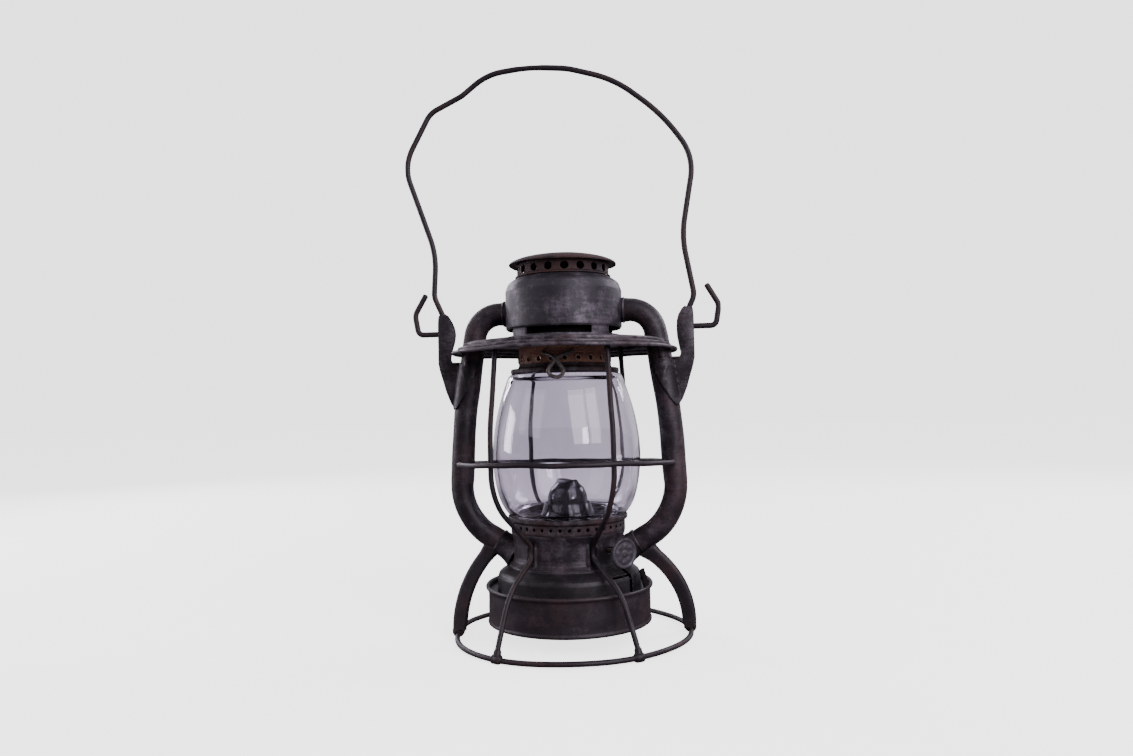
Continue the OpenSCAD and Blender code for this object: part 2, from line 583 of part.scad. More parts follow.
// Outline of the glass at distance g inside its outer face
low_b = 41.6;
high_r = (pow(globe_h - low_b, 2) + pow(globe_r - globe_top_r, 2)) / (2 * (globe_r - globe_top_r));
function glass_side(g) = [
    for (t = [0.09, 0.18, 0.3, 0.45, 0.62, 0.8, 1]) [globe_foot_r + 0.6 - g + (globe_r - globe_foot_r - 0.6)
        * pow(1 - pow(1 - t, 2.3), 0.62), globe_z + low_b * t],
    for (t = [0.2:0.2:1]) [globe_r - g - high_r + sqrt(pow(high_r, 2) - pow((globe_h - low_b) * t, 2)),
        globe_z + low_b + (globe_h - low_b) * t]];
module globe() color("LightSteelBlue", 0.5) rotate_extrude() polygon(concat(
    [[globe_foot_r - 5.4, globe_z], [globe_foot_r, globe_z], [globe_foot_r + 0.4, globe_z + 1.2],
        [globe_foot_r + 0.4, gallery_top + 0.4]],
    glass_side(0), [for (i = [10:-1:1]) glass_side(glass_t)[i]],
    [[globe_foot_r - 3, globe_z + 4.6], [globe_foot_r - 5.4, globe_z + 3]]));

module fount_shell() color("DimGray") rotate_extrude() {
    difference() {
        union() {
            translate([0, fount_lift + 0.9]) square([fount_r, fount_h - 0.9]);
            translate([fount_r - 0.6, fount_lift + 1.1]) circle(r = 1.1, $fn = 16);
            translate([fount_r - fount_rim_d / 2 + 1.6, fount_rim_z]) circle(d = fount_rim_d, $fn = 24);
        }
        translate([-1, fount_lift + 2]) square([fount_r + 1 - sheet_t, fount_h + 5]);
        translate([-1, fount_lift - 2]) square([fount_r - 0.6, 3]);
    }
}

module fount_top() color("DimGray") rotate_extrude() polygon([[fount_mouth_r, fount_top_z - 1],
    [fount_mouth_r + 6, fount_top_z - 1], [fount_r - sheet_t - seam_gap - 0.9, fount_top_z - 1],
    [fount_r - sheet_t - seam_gap - 0.9, fount_top_z - 3], [fount_r - sheet_t - seam_gap, fount_top_z - 3],
    [fount_r - sheet_t - seam_gap, fount_top_z], [fount_mouth_r, fount_top_z]]);

module burner_collar() color("DarkGoldenrod") rotate_extrude() polygon([
    [fount_mouth_r, fount_top_z + seam_gap], [fount_mouth_r + 6, fount_top_z + seam_gap],
    [fount_mouth_r + 6, fount_top_z + 1.2], [fount_mouth_r + 4, fount_top_z + 1.6],
    for (i = [0:3]) each [[fount_mouth_r + 3.4, fount_top_z + 2.2 + i * 1.2],
        [fount_mouth_r + 4, fount_top_z + 2.8 + i * 1.2]],
    [fount_mouth_r + 3.4, fount_top_z + collar_rise + seam_gap], [fount_mouth_r, fount_top_z + collar_rise + seam_gap]]);

module burner_body() color("DarkGoldenrod") difference() {
    rotate_extrude() difference() {
        polygon([[0, burner_z], [burner_r + 2.4, burner_z], [burner_r + 2.4, burner_z + 3],
            [burner_r, burner_z + 4], [burner_r, deck_z - 2], [burner_r + 8, deck_z],
            [burner_r + 8, deck_z + 1.4], [dome_r - sheet_t - seam_gap, deck_z + 1.4],
            [dome_r - sheet_t - seam_gap, deck_z + 3.4], [0, deck_z + 3.4]]);
        polygon([[0, burner_z + 1], [burner_r - 1, burner_z + 1], [burner_r - 1, deck_z - 1.6],
            [dome_r - 2 * sheet_t - seam_gap, deck_z + 0.4], [dome_r - 2 * sheet_t - seam_gap, deck_z + 5],
            [0, deck_z + 5]]);
    }
    rotate([0, 0, shaft_angle]) {
        translate([0, 0, burner_z + 0.5]) rotate([0, 0, 90]) cube([wick_w + 2 * (wick_room + wick_tube_wall + seam_gap),
            wick_t + 2 * (wick_room + wick_tube_wall + seam_gap), 3], center = true);
        translate([shaft_off, -burner_r - 3, shaft_z]) rotate([-90, 0, 0]) cylinder(d = shaft_d + 2 * run_fit,
            h = burner_r);
    }
    hole_ring(16, burner_r, burner_z + 8, 2.6, shaft_angle + 11.25);
}

module burner_dome() color("DarkGoldenrod") difference() {
    rotate_extrude() difference() {
        polygon([[0, deck_z + 1.4 + seam_gap], [dome_r, deck_z + 1.4 + seam_gap], [dome_r, dome_top - 9],
            for (a = [15:15:75]) [dome_r * cos(a), dome_top - 9 + 9 * sin(a)], [0, dome_top]]);
        polygon([[0, deck_z], [dome_r - sheet_t, deck_z], [dome_r - sheet_t, dome_top - 9.4],
            for (a = [15:15:75]) [(dome_r - sheet_t) * cos(a), dome_top - 9.4 + 8.4 * sin(a)],
            [0, dome_top - 1]]);
    }
    rotate([0, 0, shaft_angle]) translate([-wick_t / 2 - 1.6, -wick_w / 2 - 1, dome_top - 8])
        cube([wick_t + 3.2, wick_w + 2, 12]);
}

module wick_tube() color("DarkGoldenrod") rotate([0, 0, shaft_angle]) {
    out_w = wick_w + 2 * (wick_room + wick_tube_wall);
    out_t = wick_t + 2 * (wick_room + wick_tube_wall);
    difference() {
        translate([-out_t / 2, -out_w / 2, burner_z - 2]) cube([out_t, out_w, dome_top - 8.6 - burner_z + 2]);
        translate([-wick_t / 2 - wick_room, -wick_w / 2 - wick_room, burner_z - 3])
            cube([wick_t + 2 * wick_room, wick_w + 2 * wick_room, dome_top - burner_z]);
        for (s = [1, -1]) translate([0, s * 4 - 1.3, shaft_z - wheel_r - 0.5]) cube([6, 2.6, 2 * wheel_r + 1]);
    }
}

module wick() color("Linen") rotate([0, 0, shaft_angle]) translate([-wick_t / 2, -wick_w / 2, fount_lift + 4])
    cube([wick_t, wick_w, dome_top - 7 - fount_lift - 4]);

// Shaft, wheels and knob are drawn along their own axis and then laid in the burner
module on_shaft() rotate([0, 0, shaft_angle]) translate([shaft_off, 0, shaft_z]) rotate([90, 0, 0]) children();

module knob_shaft() color("DarkGoldenrod") on_shaft() translate([0, 0, -10])
    cylinder(d = shaft_d, h = knob_in + 10 - seam_gap);

module wick_wheels() color("DarkGoldenrod") on_shaft() for (s = [1, -1]) translate([0, 0, s * 4 - 1]) difference() {
    cylinder(r = wheel_r, h = 2);
    translate([0, 0, -1]) cylinder(d = shaft_d + 2 * seam_gap, h = 4);
    for (i = [0:wheel_teeth - 1]) rotate([0, 0, i * 360 / wheel_teeth]) translate([wheel_r + 0.2, 0, -1])
        cylinder(d = 1.2, h = 4, $fn = 12);
}

module wick_knob() color("DimGray") on_shaft() difference() {
    rotate_extrude() polygon([[0, knob_in], [2, knob_in], [knob_d / 2 - 0.6, knob_in],
        [knob_d / 2, knob_in + 0.5], [knob_d / 2, knob_in + knob_t - 0.5],
        [knob_d / 2 - 0.6, knob_in + knob_t], [knob_d / 2 - 1.8, knob_in + knob_t],
        [knob_d / 2 - 2.3, knob_in + knob_t - 0.5], [3.4, knob_in + knob_t - 0.5],
        [2.6, knob_in + knob_t], [0, knob_in + knob_t + 0.2]]);
    for (i = [0:35]) rotate([0, 0, i * 10]) translate([knob_d / 2 + 0.35, 0, knob_in - 1])
        cylinder(d = 1.2, h = knob_t + 2, $fn = 8);
}

module globe_holder() color("Sienna") difference() {
    rotate_extrude() polygon([[sleeve_in_r, holder_z], [globe_top_r - glass_t - 1.2, holder_z],
        [holder_flange_r - 0.6, holder_z], [holder_flange_r, holder_z + 0.6],
        [holder_flange_r, holder_z + holder_flange_h - 1], [holder_flange_r - 1, holder_z + holder_flange_h],
        [sleeve_r + 1, holder_z + holder_flange_h], [sleeve_r, holder_z + holder_flange_h + 1],
        [sleeve_r, holder_z + holder_h], [sleeve_in_r, holder_z + holder_h]]);
    hole_ring(holder_holes, sleeve_r, holder_z + 9.4, holder_hole_d, 180 / holder_holes);
    for (s = [1, -1]) translate([s * 9.5, -sleeve_r - 2, holder_z + 13.6]) rotate([-90, 0, 0])
        cylinder(d = loop_wire_d + 2 * seam_gap, h = 12);
}

// Lifting loop: a ring, a stem and two arms hooked through the holder's sleeve
module lift_loop() color("DarkGoldenrod") {
    loop_y = -holder_flange_r - loop_wire_d / 2 - 3.3;
    loop_z = holder_z + 1.2;
    arm_y = -sqrt(pow(sleeve_r, 2) - pow(9.5, 2));
    translate([0, loop_y, loop_z]) rotate([90, 0, 0]) rotate_extrude() translate([loop_r, 0])
        circle(d = loop_wire_d, $fn = 16);
    translate([0, loop_y, loop_z + loop_r]) cylinder(d = loop_wire_d + 0.7, h = 4.2);
    for (s = [1, -1]) {
        a = [0, loop_y, loop_z + loop_r + 3.6];
        b = [s * 9.5, arm_y - 1.6, holder_z + 13.6];
        span = b - a;
        translate(a) rotate([0, acos(span[2] / norm(span)), atan2(span[1], span[0])])
            cylinder(d = loop_wire_d, h = norm(span));
        translate(b) sphere(d = loop_wire_d + 0.14);
        translate(b) rotate([-90, 0, 0]) cylinder(d = loop_wire_d, h = 2.2);
    }
}

module bail() color("DarkSlateGray") translate([0, 0, pivot_z])
    bent_rod(concat(flip(backward(hook)), flip(bow_left), backward(bow_right), hook),
        concat(backward(hook_bends), left_bends, backward(right_bends), hook_bends), wire_d);

air_chamber();
globe_seat();
mirror([1, 0, 0]) side_tube();  // left_tube
side_tube();  // right_tube
air_drum();
vent_collar();
chimney_cap();
inner_chimney();
guard_plate();
mirror([1, 0, 0]) ear();  // left_ear
ear();  // right_ear
guard_wire(0, -wire_lean);  // front_left_guard_wire
guard_wire(1);  // front_right_guard_wire
guard_wire(3);  // back_left_guard_wire
guard_wire(2);  // back_right_guard_wire
guard_ring(180);  // front_guard_ring
guard_ring(0);  // back_guard_ring
base_ring();
ring_clips();
mirror([1, 0, 0]) side_leg(-1);  // left_leg
side_leg(1);  // right_leg
globe();
fount_shell();
fount_top();
burner_collar();
burner_body();
burner_dome();
wick_tube();
wick();
knob_shaft();
wick_wheels();
wick_knob();
globe_holder();
lift_loop();
bail();
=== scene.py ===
# Railroad lantern: aged sheet steel, bent wire and a clear globe
import json
import math
import bmesh
import bpy
import numpy as np
from mathutils import Matrix, Vector


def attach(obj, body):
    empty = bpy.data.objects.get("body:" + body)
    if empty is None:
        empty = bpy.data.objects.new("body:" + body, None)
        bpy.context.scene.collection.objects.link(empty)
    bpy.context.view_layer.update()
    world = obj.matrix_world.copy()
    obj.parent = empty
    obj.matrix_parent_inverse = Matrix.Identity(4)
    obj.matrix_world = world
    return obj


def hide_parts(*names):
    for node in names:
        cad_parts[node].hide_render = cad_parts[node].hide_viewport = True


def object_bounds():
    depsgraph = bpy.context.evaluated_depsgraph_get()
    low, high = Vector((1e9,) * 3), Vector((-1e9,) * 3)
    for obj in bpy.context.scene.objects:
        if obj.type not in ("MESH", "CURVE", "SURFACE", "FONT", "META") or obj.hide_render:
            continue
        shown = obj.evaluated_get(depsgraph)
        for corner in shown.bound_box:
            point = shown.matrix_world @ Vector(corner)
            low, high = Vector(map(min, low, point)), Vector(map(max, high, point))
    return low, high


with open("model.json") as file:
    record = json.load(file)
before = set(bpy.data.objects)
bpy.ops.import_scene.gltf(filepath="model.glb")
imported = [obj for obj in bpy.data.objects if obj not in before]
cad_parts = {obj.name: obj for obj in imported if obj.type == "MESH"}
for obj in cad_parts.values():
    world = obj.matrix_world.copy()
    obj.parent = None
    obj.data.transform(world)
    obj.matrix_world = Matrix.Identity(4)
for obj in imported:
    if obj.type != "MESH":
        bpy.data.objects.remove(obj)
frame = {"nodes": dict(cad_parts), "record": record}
cadLow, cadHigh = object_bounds()
nodes = frame["nodes"]
record = frame["record"]
print("frame loaded:", len(nodes), "nodes")


# Shader maths: a Value wraps a socket, and an expression on values adds Math nodes
class Value:
    def __init__(self, shader, socket):
        self.shader, self.socket = shader, socket

    def math(self, operation, a, b):
        return self.shader.node("Math", {"operation": operation}, {0: a, 1: b})

    def __add__(self, other):
        return self.math("ADD", self, other)

    def __radd__(self, other):
        return self.math("ADD", other, self)

    def __sub__(self, other):
        return self.math("SUBTRACT", self, other)

    def __rsub__(self, other):
        return self.math("SUBTRACT", other, self)

    def __mul__(self, other):
        return self.math("MULTIPLY", self, other)

    def __rmul__(self, other):
        return self.math("MULTIPLY", other, self)


# The nodes of a new material or world
class Shader:
    def __init__(self, owner):
        self.owner = owner
        self.owner.use_nodes = True
        self.tree = self.owner.node_tree
        self.tree.nodes.clear()
        self.position = self.node("TexCoord", {}, {}, "Object")

    # One node of any kind: its settings first, then the values or links of its sockets
    def node(self, kind, settings, values, output=0):
        made = self.tree.nodes.new("ShaderNode" + kind)
        for name, value in settings.items():
            setattr(made, name, value)
        for name, value in values.items():
            socket = self.find(made.inputs, name)
            if isinstance(value, Value):
                self.tree.links.new(value.socket, socket)
            else:
                socket.default_value = (*value, 1) if socket.type == "RGBA" and len(value) == 3 else value
        return Value(self, self.find(made.outputs, output))

    def find(self, sockets, name):
        if isinstance(name, int):
            return sockets[name]
        return next(s for s in sockets if name in (s.identifier, s.name))

    def mix(self, factor, a, b):
        return self.node("Mix", {"data_type": "RGBA"}, {"Factor_Float": factor, "A_Color": a, "B_Color": b},
                         "Result_Color")

    # Noise on object coordinates that are moved and stretched, so that two noises don't share their blotches
    def noise(self, scale, detail=4.0, roughness=0.55, offset=(0, 0, 0), stretch=(1, 1, 1)):
        moved = self.node("Mapping", {}, {"Vector": self.position, "Location": offset, "Scale": stretch})
        return self.node("TexNoise", {}, {"Vector": moved, "Scale": scale, "Detail": detail,
                                          "Roughness": roughness}, "Fac")

    # 0 below low, 1 above high, smooth between
    def step(self, value, low, high):
        return self.node("MapRange", {"interpolation_type": "SMOOTHSTEP"},
                         {"Value": value, "From Min": low, "From Max": high})

    def bump(self, height, strength, distance):
        return self.node("Bump", {}, {"Strength": strength, "Distance": distance, "Height": height})

    def finish(self, surface, kind="Material"):
        out = self.tree.nodes.new("ShaderNodeOutput" + kind)
        self.tree.links.new(surface.socket, out.inputs["Surface"])
        return self.owner


# Aged sheet steel: dark skin, lighter rubbed patches, brown rust in blotches, fine pits and worn high places;
# a look's shade band is darkened as painted shade
def agedSteel(name, look):
    s = Shader(bpy.data.materials.new(name))
    seed = look["seed"]
    blotch = s.noise(look["blotch"], 6, 0.62, (seed, 0.3, 0.1))
    cloud = s.noise(look["blotch"] * 3.1, 6, 0.66, (0.7, seed, 0.2))
    run = s.noise(140, 4, 0.6, (seed, 0.2, 0.9), (1, 1, 0.25))
    grain = s.noise(1100, 3, 0.6, (0.1, 0.6, seed))
    pit = s.noise(520, 2, 0.5, (seed, 0.5, 0.4))
    scratch = s.noise(330, 4, 0.65, (0.5, seed, 0.8), (0.25, 0.25, 1.6))
    rubbed = s.step(cloud * 0.5 + run * 0.16 + scratch * 0.16 + grain * 0.18,
                    look["rubFrom"], look["rubFrom"] + 0.17)
    rusted = s.step(blotch * 0.6 + cloud * 0.25 + grain * 0.15, look["rustFrom"], look["rustFrom"] + 0.14)
    pitted = s.step(pit, 0.6, 0.7)
    speckled = s.step(s.noise(760, 2, 0.5, (0.8, seed, 0.3)), 0.66, 0.74)
    skin = s.mix(rubbed, look["dark"], look["light"])
    browned = s.mix(grain, look["rustDark"], look["rustLight"])
    colour = s.mix(rusted * look["rust"], skin, browned)
    colour = s.mix(pitted * 0.5, colour, look["pit"])
    colour = s.mix(speckled * 0.35, colour, look["light"])
    # painted shade: the look's band of heights is mixed towards the pit colour
    if "shadeBand" in look:
        level = s.node("SeparateXYZ", {}, {"Vector": s.position}, "Z")
        low, high = look["shadeBand"]
        paintedShade = s.step(level, low, low + 0.001) * (1 - s.step(level, high - 0.0015, high))
        colour = s.mix(paintedShade * (0.55 + blotch * 0.35), colour, look["pit"])
    lumps = s.noise(look["lump"], 3, 0.5, (0.2, seed, 0.6))
    height = lumps * 0.5 + cloud * 0.2 + grain * (0.05 + rusted * 0.1) - pitted * 0.08
    return s.finish(s.node("BsdfPrincipled", {}, {
        "Base Color": colour,
        "Metallic": look["metal"] * (1 - rusted * 0.7),
        "Roughness": look["rough"] + look["dull"] * (rusted * 0.16 + grain * 0.12 - rubbed * 0.08),
        "Specular IOR Level": look["gloss"],
        "Normal": s.bump(height, look["bump"], 0.001)}))


# What the looks share, and what each look changes; the shade band is the band of heights darkened as painted
# shade, in metres
steelLook = {
    "seed": 1.3, "blotch": 26, "lump": 90, "rubFrom": 0.5, "rustFrom": 0.52, "rust": 0.7, "bump": 0.45,
    "metal": 0.25, "rough": 0.44, "dull": 1, "gloss": 0.4, "dark": (0.0125, 0.0088, 0.0118),
    "light": (0.046, 0.038, 0.045), "rustDark": (0.018, 0.0085, 0.0085), "rustLight": (0.046, 0.02, 0.017),
    "pit": (0.007, 0.006, 0.0065)}
looks = {
    "wire": {"seed": 4.1, "blotch": 34, "rustFrom": 0.46, "light": (0.034, 0.026, 0.029)},
    "tube": {"seed": 5.9, "blotch": 20, "rustFrom": 0.45, "rubFrom": 0.47, "light": (0.066, 0.055, 0.068),
             "rustLight": (0.056, 0.024, 0.022)},
    "drum": {"seed": 8.4, "blotch": 22, "rubFrom": 0.47, "rustFrom": 0.62, "dark": (0.021, 0.018, 0.023),
             "light": (0.105, 0.09, 0.108)},
    "plate": {"seed": 3.2, "blotch": 40, "rustFrom": 0.46, "rubFrom": 0.42, "light": (0.105, 0.086, 0.098)},
    "rust": {"seed": 2.7, "rustFrom": 0.42, "rust": 0.85, "rough": 0.55, "metal": 0.15},
    "cap": {"seed": 6.3, "rustFrom": 0.4, "rust": 0.9, "rough": 0.5, "rustLight": (0.07, 0.034, 0.026)},
    "collar": {"seed": 2.2, "rustFrom": 0.36, "rust": 0.95, "rough": 0.55,
               "rustLight": (0.062, 0.027, 0.022)},
    "holder": {"seed": 9.6, "rustFrom": 0.3, "rubFrom": 0.43, "rust": 0.95, "rough": 0.42, "metal": 0.4,
               "rustDark": (0.04, 0.015, 0.006), "rustLight": (0.42, 0.2, 0.12),
               "dark": (0.085, 0.05, 0.044), "light": (0.6, 0.46, 0.38)},
    # the chamber's skirt and shoulder, 30 to 48.5 mm up, are darkened as painted shade
    "chamber": {"seed": 7.7, "blotch": 30, "rubFrom": 0.46, "light": (0.08, 0.066, 0.078),
                "shadeBand": (0.03, 0.0485)},
    "band": {"seed": 1.1, "blotch": 60, "rubFrom": 0.44, "rustFrom": 0.42, "rough": 0.55,
             "light": (0.085, 0.068, 0.072)},
    "fount": {"seed": 4.8, "blotch": 24, "rustFrom": 0.48, "dark": (0.017, 0.012, 0.015)},
    "knob": {"seed": 5.2, "blotch": 60, "rubFrom": 0.46, "rustFrom": 0.62, "bump": 0.3,
             "light": (0.078, 0.07, 0.082), "dark": (0.04, 0.034, 0.041)},
    "dome": {"seed": 6.6, "rubFrom": 0.7, "rustFrom": 0.8, "rust": 0.1, "rough": 0.03, "dull": 0.1,
             "gloss": 0.6, "bump": 0.012, "metal": 0, "dark": (0.006, 0.006, 0.01),
             "light": (0.012, 0.012, 0.018)},
    # soot: the inner chimney's real soot; on the fount's catch the same near-black is painted shade
    "soot": {"seed": 3.9, "rust": 0.2, "rough": 0.8, "metal": 0, "gloss": 0.1, "dark": (0.006, 0.005, 0.005),
             "light": (0.014, 0.012, 0.011)},
    "loop": {"seed": 1.9, "blotch": 80, "rubFrom": 0.4, "light": (0.16, 0.14, 0.13),
             "dark": (0.05, 0.043, 0.04)},
    # lip: pale colour of the holder's eyelets, a painted highlight of the light seen through the holes
    "lip": {"seed": 0.9, "rubFrom": 0.3, "rust": 0.5, "metal": 0.6, "rough": 0.3, "light": (0.42, 0.3, 0.2),
            "dark": (0.12, 0.07, 0.045)},
    "brass": {"seed": 7.2, "dark": (0.04, 0.034, 0.028), "light": (0.15, 0.125, 0.085), "rustFrom": 0.6},
}


# Clear pressed glass with a faint lavender cast and patches of smoke
def clearGlass():
    s = Shader(bpy.data.materials.new("clearGlass"))
    wave = s.noise(38, 2, 0.4, (0.4, 0.1, 0.2), (1, 1, 0.5))
    smoke = s.step(s.noise(17, 4, 0.55, (0.2, 0.7, 0.1), (1, 1, 0.35)), 0.36, 0.68)
    return s.finish(s.node("BsdfPrincipled", {}, {
        "Base Color": s.mix(smoke, (0.95, 0.93, 0.985), (0.83, 0.805, 0.88)), "Roughness": 0.02, "IOR": 1.46,
        "Transmission Weight": 1.0, "Normal": s.bump(wave, 0.12, 0.002)}))


# Flat woven wick, cream and stained
def wovenWick():
    s = Shader(bpy.data.materials.new("wovenWick"))
    thread = s.node("TexWave", {"bands_direction": "Z"},
                    {"Vector": s.position, "Scale": 900, "Distortion": 1.5})
    stain = s.noise(160, 4)
    colour = s.mix(thread * 0.5 + stain * 0.4, (0.3, 0.26, 0.2), (0.62, 0.56, 0.45))
    return s.finish(s.node("BsdfPrincipled", {}, {
        "Base Color": colour, "Roughness": 0.9, "Normal": s.bump(thread, 0.6, 0.0004)}))


finishes = {name: agedSteel(name + "Steel", {**steelLook, **change}) for name, change in looks.items()}
finishes["glass"] = clearGlass()
materials = {
    "aged_steel": finishes["chamber"], "tube_steel": finishes["tube"], "rusty_steel": finishes["rust"],
    "wire_steel": finishes["wire"], "aged_brass": finishes["brass"], "globe_glass": finishes["glass"],
    "wick_cotton": wovenWick()}
for part in record["subparts"]:
    skin = nodes[part["node"]].data.materials
    skin.clear()
    skin.append(materials[part["material_slot"]])
nodes["inner_chimney"].data.materials[0] = finishes["soot"]
print("materials:", len(materials))

# The slot of each look that isn't aged_steel
slots = {
    "wire": "wire_steel", "tube": "tube_steel", "drum": "tube_steel", "rust": "rusty_steel",
    "cap": "rusty_steel", "collar": "rusty_steel", "holder": "rusty_steel", "lip": "rusty_steel",
    "loop": "aged_brass", "dome": "aged_brass", "glass": "globe_glass"}

# Shapes are worked out in millimetres; a radian is rounded to a tenth of a degree, points closer than the
# seam's gap, in metres, become one, and a rod's tip has six rings
mm = 0.001
radian = 57.3
seamGap = 2e-6
tipRings = 6
xAxis, yAxis, zAxis = np.eye(3)
bothSides = ((-1, "left"), (1, "right"))


# A new object in the scene
def linked(name, data):
    made = bpy.data.objects.new(name, data)
    bpy.context.scene.collection.objects.link(made)
    return made


# Puts a shape's points and faces into one object, merges its seams and turns its faces outwards. A single
# sheet gets its thickness inwards, by Solidify. No piece reaches outside the solids' box.
def addPiece(name, shape, lookName, body="frame", stands=(), sheet=0.0, crisp=35, slotName=None):
    points, faces = shape
    points = np.clip(points.reshape(-1, 3) * mm, cadLow, cadHigh)
    slotName = slotName or slots.get(lookName, "aged_steel")
    mesh = bpy.data.meshes.new(name)
    mesh.from_pydata(points.tolist(), [], faces.tolist())
    form = bmesh.new()
    form.from_mesh(mesh)
    bmesh.ops.remove_doubles(form, verts=form.verts, dist=seamGap)
    bmesh.ops.recalc_face_normals(form, faces=form.faces)
    form.to_mesh(mesh)
    form.free()
    mesh.shade_smooth()
    mesh.set_sharp_from_angle(angle=math.radians(crisp))
    mesh.materials.append(finishes[lookName])
    piece = linked(name, mesh)
    if sheet:
        wall = piece.modifiers.new("wall", "SOLIDIFY")
        wall.thickness, wall.offset = sheet * mm, -1
    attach(piece, body)
    if stands:
        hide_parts(*stands)


# A bell of height 1 round a centre: exp(-((x - centre) / width)^2)
def bell(x, centre, width):
    return np.exp(-((x - centre) / width) ** 2)


# A straight rise from 0 at start to 1 at end, and level outside
def rise(x, start, end):
    return np.clip((x - start) / (end - start), 0, 1)


# Angles of a whole turn
def wholeTurn(count):
    return np.linspace(0, 2 * math.pi, count, endpoint=False)


# Azimuth in radians, from the front (-Y) to +X
def azimuthOf(points):
    return np.arctan2(points[..., 0], -points[..., 1])


# Points at a distance from the axis, an azimuth and a height
def around(r, azimuth, z):
    return np.stack([r * np.sin(azimuth), -r * np.cos(azimuth), z + 0 * azimuth], -1)


# Distance from the lantern's axis
def reachOf(points):
    return np.hypot(points[..., 0], points[..., 1])


# Four-sided faces of a grid of rows and columns; a closed direction wraps round to its start
def gridFaces(rows, columns, closeRows=False, closeColumns=True):
    i, j = np.meshgrid(np.arange(rows - (not closeRows)), np.arange(columns - (not closeColumns)),
                       indexing="ij")
    below, beside = (i + 1) % rows, (j + 1) % columns
    return np.stack([i * columns + j, i * columns + beside, below * columns + beside, below * columns + j],
                    -1).reshape(-1, 4)


# Several shapes as one set of points and faces
def joined(parts):
    starts = np.cumsum([0] + [p.reshape(-1, 3).shape[0] for p, f in parts])
    return (np.concatenate([p.reshape(-1, 3) for p, f in parts]),
            np.concatenate([f + start for (p, f), start in zip(parts, starts)]))


# Flat path through corners: straight runs joined by arcs of the given radii, then evenly spaced.
# An arc starts radius * tan(half the turn) before its corner.
def roundedPath(corners, radii, spacing):
    corners = np.array(corners, float)
    points = [corners[:1]]
    for before, corner, after, radius in zip(corners, corners[1:], corners[2:], radii):
        u, v = corner - before, after - corner
        u, v = u / np.linalg.norm(u), v / np.linalg.norm(v)
        turn = math.atan2(u[0] * v[1] - u[1] * v[0], u @ v)
        trim, side = radius * math.tan(abs(turn) / 2), np.sign(turn)
        centre = corner - u * trim + side * radius * np.array([-u[1], u[0]])
        angle = math.atan2(u[1], u[0]) + turn * np.linspace(0, 1, 24)
        points.append(centre + side * radius * np.stack([np.sin(angle), -np.cos(angle)], -1))
    points = np.concatenate(points + [corners[-1:]])
    length = np.concatenate([[0], np.cumsum(np.linalg.norm(np.diff(points, axis=0), axis=1))])
    even = np.linspace(0, length[-1], max(8, int(length[-1] / spacing)))
    return np.stack([np.interp(even, length, points[:, k]) for k in (0, 1)], -1)


# Smooth curve through an outline's points: Catmull-Rom, each stretch in equal steps
def smoothed(points, steps=8):
    p = np.array(points, float)
    p = np.concatenate([2 * p[:1] - p[1:2], p, 2 * p[-1:] - p[-2:-1]])
    t = np.linspace(0, 1, steps, endpoint=False)[None, :, None]
    a, b, c, d = (p[k:len(p) - 3 + k, None] for k in range(4))
    curve = b + 0.5 * t * (c - a + t * (2 * a - 5 * b + 4 * c - d + t * (3 * (b - c) + d - a)))
    return np.concatenate([curve.reshape(-1, p.shape[1]), p[-2:-1]])


# A flat path (distance, height) stood upright from a point of the plan, towards an azimuth;
# also the plane's normal
def stoodUp(flat, azimuth, start=(0, 0)):
    flat, a = np.array(flat, float), math.radians(azimuth)
    out, across = np.array([math.sin(a), -math.cos(a), 0]), np.array([math.cos(a), math.sin(a), 0])
    line = flat[:, :1] * out + flat[:, 1:] * zAxis + np.array([start[0], start[1], 0])
    return line, np.broadcast_to(across, line.shape)


# Arc of a circle at a height, between two azimuths in degrees
def arcLine(radius, height, start, end, spacing=1.2):
    a = np.radians(np.linspace(start, end, int(abs(end - start) / radian * radius / spacing)))
    return around(radius, a, height)


# Unit vectors along a line
def directions(line, closed=False):
    along = np.roll(line, -1, 0) - np.roll(line, 1, 0) if closed else np.gradient(line, axis=0)
    return along / np.linalg.norm(along, axis=1, keepdims=True)


# Open tube wall round a line: line + radius * (cos * normal + sin * across)
def sleeve(line, normal, across, radius, sides):
    phi = wholeTurn(sides)
    normal = np.broadcast_to(normal, line.shape)
    points = (line[:, None] + (radius * np.cos(phi))[..., None] * normal[:, None]
              + (radius * np.sin(phi))[..., None] * across)
    return points, gridFaces(len(line), sides)


